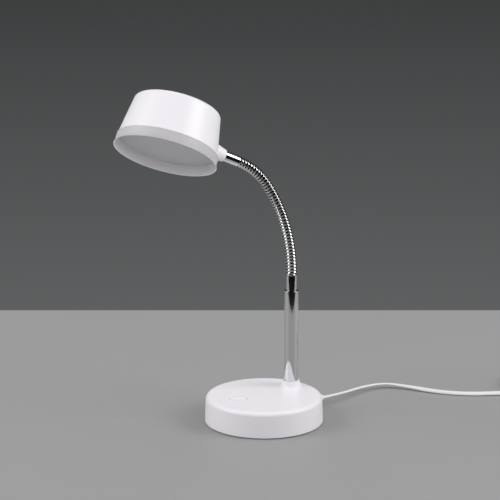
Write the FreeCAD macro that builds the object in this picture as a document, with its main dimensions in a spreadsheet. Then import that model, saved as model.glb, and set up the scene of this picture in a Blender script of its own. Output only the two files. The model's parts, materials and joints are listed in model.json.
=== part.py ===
import FreeCAD, Part
import math
import os

import Sketcher
from FreeCAD import Placement, Rotation, Vector

# Gooseneck desk lamp, millimetres.
# Frame: origin on the table under the middle of the round base, +Z up,
# +X to the right and +Y to the back of the lamp as it is looked at.

DIMENSIONS = {
    # Round base
    "base_radius": 60.0,
    "base_draft": 0.95,
    "base_height": 26.3,
    "base_lift": 0.6,
    "base_round": 4.0,
    "cover_wall": 2.2,
    "pad_margin": 8.0,
    "pad_thick": 1.4,
    "plate_thick": 2.0,
    "plate_gap": 0.3,
    "weight_gap": 0.6,
    "weight_thick": 8.0,
    "weight_channel": 8.0,
    "weight_channel_margin": 7.5,
    "post_margin": 8.3,
    "post_radius": 3.4,
    "post_angle": 110.0,
    "base_screw_head_radius": 2.8,
    "base_screw_head_thick": 1.3,
    "base_screw_shank_radius": 1.3,
    "base_screw_length": 9.6,
    "screw_fit": 0.2,
    "pilot_fit": 0.05,
    "pilot_spare": 2.0,
    # Collar and stem
    "stem_inset": 18.225,
    "stem_azimuth": 47.91,
    "collar_height": 6.6,
    "collar_foot_radius": 10.2,
    "collar_top_radius": 8.5,
    "collar_foot_round": 1.4,
    "collar_lip_round": 0.4,
    "tube_radius": 7.25,
    "tube_wall": 1.2,
    "tube_length": 101.9,
    "tube_fit": 0.1,
    "bush_fit": 0.05,
    "foot_bush_length": 12.0,
    "top_bush_length": 12.0,
    "nipple_radius": 4.9,
    "nipple_wall": 1.5,
    "nipple_rise": 10.4,
    "nipple_tail": 1.4,
    "nipple_hole_fit": 0.3,
    "stem_washer_radius": 9.0,
    "stem_washer_thick": 1.5,
    "stem_nut_corner": 9.2,
    "stem_nut_thick": 5.0,
    "thread_fit": 0.05,
    # Gooseneck
    "hose_radius": 5.5,
    "hose_core_radius": 3.9,
    "hose_bore_radius": 2.3,
    "wire_radius": 1.05,
    "link_pitch": 9.867,
    "links_low": 10.0,
    "links_high": 4.0,
    "bend_low": 32.2,
    "bend_high": 33.3,
    "heading": 199.0,
    "joint_gap": 0.75,
    "core_inset": 0.15,
    "lead_gap": 0.25,
    "lead_radius": 1.5,
    "spigot_radius": 4.5,
    "spigot_length": 10.0,
    "low_ferrule_length": 18.0,
    "high_ferrule_length": 17.0,
    # Head, measured from the rim of the diffuser
    "head_radius": 53.0,
    "head_taper": 0.186,
    "head_height": 53.2,
    "head_round": 4.8,
    "head_roll": 22.8,
    "shade_wall": 2.0,
    "seam_height": 10.8,
    "boss_stand": 7.5,
    "boss_height": 23.0,
    "boss_tip_radius": 6.2,
    "boss_root_radius": 9.0,
    "boss_embed": 1.722,
    "boss_seat_depth": 2.5,
    "boss_seat_radius": 7.2,
    "boss_seat_overlap": 1.0,
    "tail_radius": 4.0,
    "tail_fit": 0.1,
    "neck_washer_radius": 7.0,
    "neck_washer_thick": 1.2,
    "neck_nut_corner": 7.5,
    "neck_nut_thick": 4.1,
    "tail_spare": 0.7,
    "diffuser_wall": 1.8,
    "diffuser_face": 10.0,
    "diffuser_thick": 1.6,
    "diffuser_lip": 2.8,
    "diffuser_lip_wall": 1.5,
    "diffuser_fit": 0.1,
    "led_board_margin": 4.0,
    "led_board_thick": 1.6,
    "heat_sink_gap": 2.304,
    "heat_sink_thick": 2.0,
    "heat_sink_top": 36.0,
    "chip_ring_margin": 16.0,
    "chip_ring_step": 12.0,
    "chip_length": 3.5,
    "chip_width": 2.8,
    "chip_thick": 0.7,
    "head_post_margin": 10.0,
    "head_post_radius": 3.5,
    "head_screw_head_radius": 2.6,
    "head_screw_head_thick": 1.6,
    "head_screw_shank_radius": 1.1,
    "head_screw_length": 9.6,
    "lead_landing_margin": 7.0,
    "lead_bend_head": 5.0,
    # Switch
    "button_inset": 31.73,
    "button_azimuth": 205.11,
    "button_radius": 9.1,
    "button_gap": 0.3,
    "button_sink": 0.6,
    "button_dish": 0.7,
    "button_dish_radius": 8.2,
    "button_flange_radius": 10.4,
    "button_flange_thick": 1.2,
    "button_travel": 2.0,
    "plunger_radius": 2.4,
    "plunger_gap": 0.3,
    "plunger_spare": 0.4,
    "switch_side": 12.0,
    "switch_height": 7.0,
    "switch_well": 5.4,
    # Electrical pieces in the base
    "board_stem_gap_x": 13.0,
    "board_stem_offset_y": 9.0,
    "board_length": 46.0,
    "board_width": 24.0,
    "board_thick": 1.6,
    "standoff_height": 2.0,
    "standoff_radius": 2.2,
    "standoff_inset": 3.0,
    "transformer_length": 14.0,
    "transformer_width": 12.0,
    "transformer_height": 7.5,
    "capacitor_radius": 3.2,
    "capacitor_height": 7.4,
    "block_stem_offset_x": 10.0,
    "block_board_gap": 3.0,
    "block_length": 12.0,
    "block_width": 10.0,
    "block_height": 9.0,
    "connector_width": 6.0,
    "connector_height": 5.0,
    "connector_length": 7.0,
    "lead_bend_base": 3.0,
    "core_lead_radius": 0.7,
    "switch_lead_radius": 0.9,
    "switch_lead_rise": 2.0,
    "switch_lead_bend": 4.0,
    "mains_lead_radius": 2.2,
    "mains_bend": 4.0,
    "mains_drop_stem_gap": 16.275,
    # Mains cord
    "cord_azimuth": 40.0,
    "cord_exit_height": 7.6,
    "cord_radius": 2.5,
    "relief_neck_radius": 2.9,
    "relief_fit": 0.1,
    "relief_root_radius": 4.0,
    "relief_tip_radius": 3.0,
    "relief_length": 17.0,
    "relief_clip_length": 12.0,
    "relief_clip_height": 5.2,
    "relief_clip_thick": 1.5,
    "relief_clip_inset": 2.0,
    "coil_x": 298.0,
    "coil_y": 112.0,
    "coil_radius": 28.0,
    "coil_thick": 15.0,
    "tie_width": 4.0,
    "tie_thick": 1.0,
    "tie_gap": 0.3,
    "plug_x": 330.0,
    "plug_y": 153.0,
    "plug_heading": 93.0,
    "plug_rest": 0.1,
    "plug_relief_length": 18.0,
    "plug_relief_wall": 0.6,
    "plug_relief_radius": 5.0,
    "plug_half_rear": 7.5,
    "plug_half_front": 17.6,
    "plug_shoulder": 14.0,
    "plug_length": 36.0,
    "plug_thick": 13.7,
    "plug_round": 2.4,
    "pin_radius": 2.0,
    "pin_length": 19.0,
    "pin_spacing": 18.6,
}

WHOLE_TURN = 360.0
BASE_POSTS = 3
HEAD_POSTS = 3
HEAD_POST_ANGLE = 60.0
OUTER_CHIPS = 12
INNER_CHIPS = 6
WIRES_PER_LINK = 3
CORD_LIFT = 0.1
ARC_SHARE = 0.45
CUT_SPARE = 1.0


class Size:
    """A size with its value and the sheet formula that gives it."""

    def __init__(self, value, formula):
        self.value = float(value)
        self.formula = formula

    @staticmethod
    def of(other):
        """Return the argument as a Size."""
        if isinstance(other, Size):
            return other
        return Size(other, f"({float(other)!r})")

    def __add__(self, other):
        other = Size.of(other)
        return Size(self.value + other.value, f"({self.formula} + {other.formula})")

    def __sub__(self, other):
        other = Size.of(other)
        return Size(self.value - other.value, f"({self.formula} - {other.formula})")

    def __mul__(self, other):
        other = Size.of(other)
        return Size(self.value * other.value, f"({self.formula} * {other.formula})")

    def __truediv__(self, other):
        other = Size.of(other)
        return Size(self.value / other.value, f"({self.formula} / {other.formula})")

    def __neg__(self):
        return Size(0.0, "(0.0)") - self

    __radd__ = __add__
    __rmul__ = __mul__

    def __rsub__(self, other):
        return Size.of(other) - self


def cosine(angle):
    """Cosine of an angle in degrees."""
    angle = Size.of(angle)
    return Size(math.cos(math.radians(angle.value)), f"cos({angle.formula} * 1deg)")


def sine(angle):
    """Sine of an angle in degrees."""
    angle = Size.of(angle)
    return Size(math.sin(math.radians(angle.value)), f"sin({angle.formula} * 1deg)")


class Sheet:
    """The driving dimensions: one spreadsheet row each, read back as Sizes."""

    def __init__(self, document, values):
        cells = document.addObject("Spreadsheet::Sheet", "dims")
        for row, (alias, value) in enumerate(values.items(), 1):
            cells.set(f"A{row}", alias)
            cells.set(f"B{row}", str(value))
            cells.setAlias(f"B{row}", alias)
            setattr(self, alias, Size(value, f"dims.{alias}"))
        document.recompute()


doc = FreeCAD.newDocument("gooseneck_desk_lamp")
dim = Sheet(doc, DIMENSIONS)
nodes = []


def bind(feature, **sizes):
    """Bind properties of a feature to sizes. An underscore stands for a dot."""
    for path, size in sizes.items():
        feature.setExpression(path.replace("_", "."), Size.of(size).formula)


def place(feature, at, turn=None):
    """Put a feature at three sizes, turned by a Rotation."""
    if turn:
        feature.Placement = Placement(Vector(), turn)
    bind(feature, Placement_Base_x=at[0], Placement_Base_y=at[1], Placement_Base_z=at[2])
    return feature


def new_body(label):
    """Return an empty body for one sub-part."""
    body = doc.addObject("PartDesign::Body", label)
    body.Label = label
    return body


def keep(sub_part, frame=None):
    """List a sub-part for export and put it in its frame."""
    if frame:
        sub_part.Placement = frame
    nodes.append(sub_part)
    return sub_part


def solid_kind(kind, cut):
    return f"PartDesign::{'Subtractive' if cut else 'Additive'}{kind}"


def cylinder(body, name, radius, height, at=(0, 0, 0), cut=False, turn=None):
    feature = body.newObject(solid_kind("Cylinder", cut), name)
    bind(feature, Radius=radius, Height=height)
    return place(feature, at, turn)


def cone(body, name, radius1, radius2, height, at=(0, 0, 0), cut=False, turn=None):
    feature = body.newObject(solid_kind("Cone", cut), name)
    bind(feature, Radius1=radius1, Radius2=radius2, Height=height)
    return place(feature, at, turn)


def block(body, name, length, width, height, at, cut=False):
    """A box whose footprint is centred on at, and whose underside is at its height."""
    feature = body.newObject(solid_kind("Box", cut), name)
    bind(feature, Length=length, Width=width, Height=height)
    corner = (Size.of(at[0]) - Size.of(length) / 2, Size.of(at[1]) - Size.of(width) / 2, at[2])
    return place(feature, corner)


def hexagon(body, name, corner_radius, height, at=(0, 0, 0)):
    feature = body.newObject("PartDesign::AdditivePrism", name)
    feature.Polygon = 6
    bind(feature, Circumradius=corner_radius, Height=height)
    return place(feature, at)


def origin_part(body, role):
    """A plane or an axis of the body's own origin."""
    return next(part for part in body.Origin.OriginFeatures if part.Role == role)


def around(body, name, features, count):
    """Repeat features evenly about the body's upright axis."""
    pattern = body.newObject("PartDesign::PolarPattern", name)
    pattern.Originals = features
    pattern.Axis = (origin_part(body, "Z_Axis"), [""])
    pattern.Angle = WHOLE_TURN
    pattern.Occurrences = count
    body.Tip = pattern
    return pattern


def outline(body, name, plane, corners):
    """A closed outline of straight lines. Each corner is two sizes, none negative."""
    sketch = body.newObject("Sketcher::SketchObject", name)
    sketch.AttachmentSupport = [(origin_part(body, plane), "")]
    sketch.MapMode = "FlatFace"
    corners = [(Size.of(x), Size.of(y)) for x, y in corners]
    count = len(corners)
    for index, (x, y) in enumerate(corners):
        end_x, end_y = corners[(index + 1) % count]
        start = Vector(x.value, y.value, 0)
        sketch.addGeometry(Part.LineSegment(start, Vector(end_x.value, end_y.value, 0)), False)
    for index in range(count):
        sketch.addConstraint(Sketcher.Constraint("Coincident", index, 2, (index + 1) % count, 1))
    for index, corner in enumerate(corners):
        for size, kind, axis in zip(corner, ("DistanceX", "DistanceY"), (-2, -1)):
            if size.value == 0:
                sketch.addConstraint(Sketcher.Constraint("PointOnObject", index, 1, axis))
                continue
            label = f"corner{index}{kind[-1].lower()}"
            made = sketch.addConstraint(Sketcher.Constraint(kind, -1, 1, index, 1, size.value))
            sketch.renameConstraint(made, label)
            sketch.setExpression(f"Constraints.{label}", size.formula)
    return sketch


def turned(body, name, corners):
    """A turned solid. Each corner of its outline is a radius and a height."""
    sketch = outline(body, f"{name}_outline", "XZ_Plane", corners)
    feature = body.newObject("PartDesign::Revolution", name)
    feature.Profile = sketch
    feature.ReferenceAxis = (sketch, ["V_Axis"])
    feature.Angle = WHOLE_TURN
    return feature


def round_rim(body, name, size, radius, height, centre=(0, 0)):
    """Round the circular edge that has this radius, height and centre."""
    doc.recompute()
    tip = body.Tip
    found = []
    for number, edge in enumerate(tip.Shape.Edges, 1):
        curve = edge.Curve
        if not isinstance(curve, Part.Circle):
            continue
        middle = Vector(Size.of(centre[0]).value, Size.of(centre[1]).value, height.value)
        if abs(curve.Radius - radius.value) < 1e-3 and (curve.Center - middle).Length < 1e-3:
            found.append(f"Edge{number}")
    feature = body.newObject("PartDesign::Fillet", name)
    feature.Base = (tip, found)
    bind(feature, Radius=size)
    return feature


def path_wire(points, radii):
    """Straight runs through the points, joined by tangent arcs of the given radii."""
    edges = []
    start = points[0]
    for before, corner, after, radius in zip(points, points[1:], points[2:], radii):
        into = (corner - before).normalize()
        away = (after - corner).normalize()
        half_turn = into.getAngle(away) / 2
        reach = radius * math.tan(half_turn)
        arc_start = corner - into * reach
        arc_end = corner + away * reach
        inward = (away - into).normalize()
        arc_middle = corner + inward * (radius / math.cos(half_turn) - radius)
        edges.append(Part.LineSegment(start, arc_start).toShape())
        edges.append(Part.Arc(arc_start, arc_middle, arc_end).toShape())
        start = arc_end
    edges.append(Part.LineSegment(start, points[-1]).toShape())
    return Part.Wire(edges)


def swept(label, radius, points, radii):
    """A round cable along a path, as a solid."""
    wire = path_wire(points, radii)
    direction = points[1] - points[0]
    section = Part.Wire(Part.makeCircle(radius, points[0], direction))
    feature = doc.addObject("Part::Feature", label)
    feature.Label = label
    feature.Shape = wire.makePipeShell([section], True, False)
    expected = math.pi * radius**2 * wire.Length
    if abs(feature.Shape.Volume / expected - 1) > 0.01:
        raise ValueError(f"{label} has volume {feature.Shape.Volume:.1f}, not {expected:.1f}")
    return feature, wire.Length


def group(label, members):
    """Several separate solids that make one sub-part."""
    together = doc.addObject("Part::Compound", label)
    together.Label = label
    together.Links = members
    return together


def vector(*sizes):
    return Vector(*(Size.of(size).value for size in sizes))


def dish_sphere(chord_radius, depth):
    """The radius of the sphere that dips this deep inside a circle of this radius."""
    return (chord_radius * chord_radius + depth * depth) / (2 * depth)


# Levels of the base, from the table up
cover_foot = dim.base_lift
cover_top = dim.base_lift + dim.base_height
ceiling = cover_top - dim.cover_wall
plate_top = dim.pad_thick + dim.plate_thick
weight_top = plate_top + dim.weight_thick
cover_top_radius = dim.base_radius - dim.base_draft
inner_radius = dim.base_radius - dim.cover_wall
inner_top_radius = cover_top_radius - dim.cover_wall
screw_tip = dim.pad_thick + dim.base_screw_head_thick + dim.base_screw_length
stem_reach = dim.base_radius - dim.stem_inset
stem_x = stem_reach * cosine(dim.stem_azimuth)
stem_y = stem_reach * sine(dim.stem_azimuth)
stem = (stem_x, stem_y)
button_reach = dim.base_radius - dim.button_inset
button_x = button_reach * cosine(dim.button_azimuth)
button_y = button_reach * sine(dim.button_azimuth)
post_ring = inner_radius - dim.post_margin
weight_radius = post_ring - dim.post_radius - dim.weight_gap
mains_drop_reach = stem_reach - dim.mains_drop_stem_gap
board_right = stem_x - dim.board_stem_gap_x
board_x = board_right - dim.board_length / 2
board_y = stem_y - dim.board_stem_offset_y
board_front = board_y - dim.board_width / 2
block_back = board_front - dim.block_board_gap
block_x = stem_x - dim.block_stem_offset_x
block_y = block_back - dim.block_width / 2
connector_end = board_right + dim.connector_length
stem_frame = Placement(vector(*stem, 0), Rotation())
tube_top = cover_top + dim.tube_length
tube_bore = dim.tube_radius - dim.tube_wall
bush_radius = tube_bore - dim.bush_fit
nipple_bottom = ceiling - dim.stem_washer_thick - dim.stem_nut_thick - dim.nipple_tail
nipple_bore = dim.nipple_radius - dim.nipple_wall
neck_start = tube_top + dim.low_ferrule_length


def on_ring(radius, angle, height):
    """A point on a ring about the origin's upright axis."""
    return (radius * cosine(angle), radius * sine(angle), height)


def base_pad():
    """The non-slip foam pad under the base."""
    body = new_body("base_pad")
    cylinder(body, "pad_disc", dim.base_radius - dim.pad_margin, dim.pad_thick)
    keep(body)


def base_plate():
    """The steel floor of the base, with three counterbored screw holes."""
    body = new_body("base_plate")
    radius = inner_radius - dim.plate_gap
    cylinder(body, "plate_disc", radius, dim.plate_thick, (0, 0, dim.pad_thick))
    seat = on_ring(post_ring, dim.post_angle, dim.pad_thick)
    head_radius = dim.base_screw_head_radius + dim.screw_fit
    shank_radius = dim.base_screw_shank_radius + dim.screw_fit
    bore = cylinder(body, "plate_bore", head_radius, dim.base_screw_head_thick, seat, cut=True)
    hole = cylinder(body, "plate_hole", shank_radius, dim.plate_thick, seat, cut=True)
    around(body, "plate_holes", [bore, hole], BASE_POSTS)
    keep(body)


def base_screws():
    """Three screws that hold the plate to the cover's posts."""
    body = new_body("base_screws")
    seat = on_ring(post_ring, dim.post_angle, dim.pad_thick)
    neck = (seat[0], seat[1], dim.pad_thick + dim.base_screw_head_thick)
    head = cylinder(body, "screw_head", dim.base_screw_head_radius, dim.base_screw_head_thick, seat)
    shank = cylinder(body, "screw_shank", dim.base_screw_shank_radius, dim.base_screw_length, neck)
    around(body, "screws", [head, shank], BASE_POSTS)
    keep(body)


def base_cover():
    """The white shell of the base, with its collar, posts and openings."""
    body = new_body("base_cover")
    turned(
        body,
        "cover_shell",
        [
            (dim.base_radius, cover_foot),
            (cover_top_radius, cover_top),
            (0, cover_top),
            (0, ceiling),
            (inner_top_radius, ceiling),
            (inner_radius, cover_foot),
        ],
    )
    round_rim(body, "cover_top_round", dim.base_round, cover_top_radius, cover_top)
    inner_round = dim.base_round - dim.cover_wall
    round_rim(body, "cover_inner_round", inner_round, inner_top_radius, ceiling)
    cone(
        body, "collar", dim.collar_foot_radius, dim.collar_top_radius, dim.collar_height,
        (*stem, cover_top),
    )
    round_rim(
        body, "collar_foot_fillet", dim.collar_foot_round, dim.collar_foot_radius, cover_top, stem
    )
    collar_top = cover_top + dim.collar_height
    round_rim(body, "collar_lip_round", dim.collar_lip_round, dim.collar_top_radius, collar_top, stem)
    cylinder(
        body, "tube_socket", dim.tube_radius + dim.tube_fit, dim.collar_height,
        (*stem, cover_top), cut=True,
    )
    cylinder(
        body, "nipple_hole", dim.nipple_radius + dim.nipple_hole_fit, dim.cover_wall,
        (*stem, ceiling), cut=True,
    )
    cylinder(
        body, "button_hole", dim.button_radius + dim.button_gap, dim.cover_wall,
        (button_x, button_y, ceiling), cut=True,
    )
    outward = Rotation(Vector(0, 0, 1), dim.cord_azimuth.value)
    outward = outward * Rotation(Vector(0, 1, 0), 90)
    cord_hole_start = inner_radius - 2 * dim.cover_wall
    cylinder(
        body, "cord_hole", dim.relief_neck_radius + dim.relief_fit, 4 * dim.cover_wall,
        on_ring(cord_hole_start, dim.cord_azimuth, dim.cord_exit_height), cut=True, turn=outward,
    )
    post_foot = on_ring(post_ring, dim.post_angle, plate_top)
    post = cylinder(body, "screw_post", dim.post_radius, ceiling - plate_top, post_foot)
    around(body, "screw_posts", [post], BASE_POSTS)
    pilot_radius = dim.base_screw_shank_radius + dim.pilot_fit
    pilot_depth = screw_tip + dim.pilot_spare - plate_top
    pilot = cylinder(body, "screw_pilot", pilot_radius, pilot_depth, post_foot, cut=True)
    around(body, "screw_pilots", [pilot], BASE_POSTS)
    keep(body)


def base_weight():
    """The cast ballast disc, with a channel for the mains lead."""
    body = new_body("base_weight")
    cylinder(body, "weight_disc", weight_radius, dim.weight_thick)
    channel = body.newObject("PartDesign::SubtractiveBox", "lead_channel")
    channel_end = mains_drop_reach - dim.weight_channel_margin
    length = weight_radius + CUT_SPARE - channel_end
    bind(channel, Length=length, Width=dim.weight_channel, Height=dim.weight_thick)
    place(channel, (channel_end, -(dim.weight_channel / 2), 0))
    turn = Rotation(Vector(0, 0, 1), dim.cord_azimuth.value)
    keep(body, Placement(vector(0, 0, plate_top), turn))


def stem_pieces():
    """The chrome tube and the threaded pieces that clamp it to the cover."""
    tube = new_body("stem_tube")
    turned(
        tube,
        "tube_wall",
        [
            (tube_bore, cover_top),
            (dim.tube_radius, cover_top),
            (dim.tube_radius, tube_top),
            (tube_bore, tube_top),
        ],
    )
    keep(tube, stem_frame)

    foot_bush = new_body("stem_foot_bush")
    cylinder(foot_bush, "foot_bush_rod", bush_radius, dim.foot_bush_length, (0, 0, cover_top))
    thread_radius = dim.nipple_radius + dim.thread_fit
    cylinder(
        foot_bush, "foot_bush_thread", thread_radius, dim.foot_bush_length, (0, 0, cover_top),
        cut=True,
    )
    keep(foot_bush, stem_frame)

    nipple = new_body("stem_nipple")
    nipple_length = cover_top + dim.nipple_rise - nipple_bottom
    cylinder(nipple, "nipple_rod", dim.nipple_radius, nipple_length, (0, 0, nipple_bottom))
    cylinder(nipple, "nipple_bore", nipple_bore, nipple_length, (0, 0, nipple_bottom), cut=True)
    keep(nipple, stem_frame)

    washer = new_body("stem_washer")
    washer_foot = ceiling - dim.stem_washer_thick
    cylinder(washer, "washer_disc", dim.stem_washer_radius, dim.stem_washer_thick, (0, 0, washer_foot))
    cylinder(
        washer, "washer_hole", thread_radius, dim.stem_washer_thick, (0, 0, washer_foot), cut=True
    )
    keep(washer, stem_frame)

    nut = new_body("stem_nut")
    nut_foot = washer_foot - dim.stem_nut_thick
    hexagon(nut, "nut_hex", dim.stem_nut_corner, dim.stem_nut_thick, (0, 0, nut_foot))
    cylinder(nut, "nut_thread", thread_radius, dim.stem_nut_thick, (0, 0, nut_foot), cut=True)
    keep(nut, stem_frame)

    top_bush = new_body("stem_top_bush")
    bush_foot = tube_top - dim.top_bush_length
    bush_bore = dim.spigot_radius + dim.thread_fit
    cylinder(top_bush, "top_bush_rod", bush_radius, dim.top_bush_length, (0, 0, bush_foot))
    cylinder(top_bush, "top_bush_bore", bush_bore, dim.top_bush_length, (0, 0, bush_foot), cut=True)
    keep(top_bush, stem_frame)


def lower_ferrule():
    """The crimped end of the gooseneck that plugs into the stem."""
    body = new_body("lower_ferrule")
    top = neck_start - dim.joint_gap
    turned(
        body,
        "low_ferrule_body",
        [
            (dim.hose_bore_radius, tube_top - dim.spigot_length),
            (dim.spigot_radius, tube_top - dim.spigot_length),
            (dim.spigot_radius, tube_top),
            (dim.hose_radius, tube_top),
            (dim.hose_radius, top),
            (dim.hose_bore_radius, top),
        ],
    )
    keep(body, stem_frame)


class Neck:
    """The gooseneck's middle line at rest, as a chain of short straight links."""

    def __init__(self):
        angle = math.radians(dim.heading.value)
        self.forward = Vector(math.cos(angle), math.sin(angle), 0)
        self.side = Vector(-math.sin(angle), math.cos(angle), 0)
        self.count_low = int(dim.links_low.value)
        self.count_high = int(dim.links_high.value)
        self.low_bend = math.radians(dim.bend_low.value)
        self.high_bend = math.radians(dim.bend_high.value)
        self.count = self.count_low + self.count_high
        self.frames = []
        point = vector(*stem, neck_start)
        for index in range(self.count):
            frame = self.frame(point, self.lean(index + 0.5))
            self.frames.append(frame)
            point = frame.multVec(vector(0, 0, dim.link_pitch))
        self.end = self.frame(point, self.low_bend + self.high_bend)

    def lean(self, links):
        """The angle from upright, this many links up the neck."""
        if links < self.count_low:
            return self.low_bend * links / self.count_low
        return self.low_bend + self.high_bend * (links - self.count_low) / self.count_high

    def frame(self, point, lean):
        """A frame whose Z runs along the neck and whose X is across it, in the bend's plane."""
        across = self.forward * math.cos(lean) - Vector(0, 0, 1) * math.sin(lean)
        along = self.forward * math.sin(lean) + Vector(0, 0, 1) * math.cos(lean)
        return Placement(point, Rotation(across, self.side, along, "ZXY"))


neck = Neck()


def gooseneck_links():
    """The flexible hose as equal short links, each with its stretch of the lead inside."""
    hose = new_body("hose_link")
    core_foot = dim.joint_gap + dim.core_inset
    core_length = dim.link_pitch - 2 * core_foot
    cylinder(hose, "hose_core", dim.hose_core_radius, core_length, (0, 0, core_foot))
    first_wire = dim.joint_gap + dim.wire_radius
    wire_step = (dim.link_pitch - 2 * first_wire) / (WIRES_PER_LINK - 1)
    for index in range(WIRES_PER_LINK):
        wire = hose.newObject("PartDesign::AdditiveTorus", f"hose_wire_{index + 1}")
        bind(wire, Radius1=dim.hose_radius - dim.wire_radius, Radius2=dim.wire_radius)
        place(wire, (0, 0, first_wire + index * wire_step))
    cylinder(hose, "hose_bore", dim.hose_bore_radius, dim.link_pitch, cut=True)
    lead = doc.addObject("Part::Cylinder", "lead_in_link")
    bind(lead, Radius=dim.lead_radius, Height=dim.link_pitch - 2 * dim.lead_gap)
    place(lead, (0, 0, dim.lead_gap))
    for number, frame in enumerate(neck.frames, 1):
        keep(group(f"gooseneck_link_{number:02d}", [hose, lead]), frame)


# Reaches in the head, from its axis
def shell_radius(height):
    """The head's outer radius at a height above its rim."""
    return dim.head_radius - dim.head_taper * height


boss_reach = dim.head_radius + dim.boss_stand
boss_root = shell_radius(dim.boss_height) - dim.boss_embed
boss_seat = boss_root - dim.boss_seat_depth
heat_sink_radius = shell_radius(dim.heat_sink_top) - dim.shade_wall - dim.heat_sink_gap
led_board_radius = heat_sink_radius - dim.led_board_margin
head_post_ring = heat_sink_radius - dim.head_post_margin
chip_ring_outer = led_board_radius - dim.chip_ring_margin
chip_ring_inner = chip_ring_outer - dim.chip_ring_step
lead_landing = led_board_radius - dim.lead_landing_margin

# Head frame: origin at the middle of the diffuser's rim, Z towards the closed top,
# X towards the neck
opening_way = neck.end.Rotation.multVec(
    vector(cosine(dim.head_roll), sine(dim.head_roll), 0)
)
toward_neck = -neck.end.Rotation.multVec(Vector(0, 0, 1))
head_axis_point = neck.end.multVec(vector(0, 0, dim.high_ferrule_length + boss_reach))
rim_centre = head_axis_point + opening_way * dim.boss_height.value
head_frame = Placement(
    rim_centre, Rotation(toward_neck, Vector(0, 0, 0), -opening_way, "XZY")
)


def along_boss(start):
    """A frame on the boss's axis: Z towards the neck, from this distance off the head's axis."""
    turn = Placement(vector(start, 0, dim.boss_height), Rotation(Vector(0, 1, 0), 90))
    return head_frame.multiply(turn)


def shade():
    """The white shell of the head, with the boss for the neck and three inner posts."""
    body = new_body("shade")
    inner_top = dim.head_height - dim.shade_wall
    turned(
        body,
        "shade_shell",
        [
            (shell_radius(dim.seam_height), dim.seam_height),
            (shell_radius(dim.head_height), dim.head_height),
            (0, dim.head_height),
            (0, inner_top),
            (shell_radius(inner_top) - dim.shade_wall, inner_top),
            (shell_radius(dim.seam_height) - dim.shade_wall, dim.seam_height),
        ],
    )
    round_rim(
        body, "shade_top_round", dim.head_round, shell_radius(dim.head_height), dim.head_height
    )
    inner_radius_top = shell_radius(inner_top) - dim.shade_wall
    inner_round = dim.head_round - dim.shade_wall
    round_rim(body, "shade_inner_round", inner_round, inner_radius_top, inner_top)
    to_neck = Rotation(Vector(0, 1, 0), 90)
    boss_axis = dim.boss_height
    cone(
        body, "boss", dim.boss_root_radius, dim.boss_tip_radius, boss_reach - boss_root,
        (boss_root, 0, boss_axis), turn=to_neck,
    )
    seat_depth = boss_root + dim.boss_seat_overlap - boss_seat
    cylinder(
        body, "boss_seat", dim.boss_seat_radius, seat_depth, (boss_seat, 0, boss_axis),
        turn=to_neck,
    )
    cylinder(
        body, "boss_bore", dim.tail_radius + dim.tail_fit, boss_reach - boss_seat,
        (boss_seat, 0, boss_axis), cut=True, turn=to_neck,
    )
    post_foot = on_ring(head_post_ring, HEAD_POST_ANGLE, dim.heat_sink_top)
    post_length = inner_top - dim.heat_sink_top
    post = cylinder(body, "shade_post", dim.head_post_radius, post_length, post_foot)
    around(body, "shade_posts", [post], HEAD_POSTS)
    pilot_radius = dim.head_screw_shank_radius + dim.pilot_fit
    screwed_in = dim.head_screw_length - dim.led_board_thick - dim.heat_sink_thick
    pilot = cylinder(
        body, "shade_pilot", pilot_radius, screwed_in + dim.pilot_spare, post_foot, cut=True
    )
    around(body, "shade_pilots", [pilot], HEAD_POSTS)
    keep(body, head_frame)


def diffuser():
    """The frosted rim, face and snap lip that close the head."""
    body = new_body("diffuser")
    face_top = dim.diffuser_face + dim.diffuser_thick
    lip_top = dim.seam_height + dim.diffuser_lip
    lip_foot_radius = shell_radius(dim.seam_height) - dim.shade_wall - dim.diffuser_fit
    lip_top_radius = shell_radius(lip_top) - dim.shade_wall - dim.diffuser_fit
    lip_inside = lip_top_radius - dim.diffuser_lip_wall
    turned(
        body,
        "diffuser_shell",
        [
            (0, dim.diffuser_face),
            (shell_radius(dim.diffuser_face) - dim.diffuser_wall, dim.diffuser_face),
            (dim.head_radius - dim.diffuser_wall, 0),
            (dim.head_radius, 0),
            (shell_radius(dim.seam_height), dim.seam_height),
            (lip_foot_radius, dim.seam_height),
            (lip_top_radius, lip_top),
            (lip_inside, lip_top),
            (lip_inside, face_top),
            (0, face_top),
        ],
    )
    keep(body, head_frame)


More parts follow.
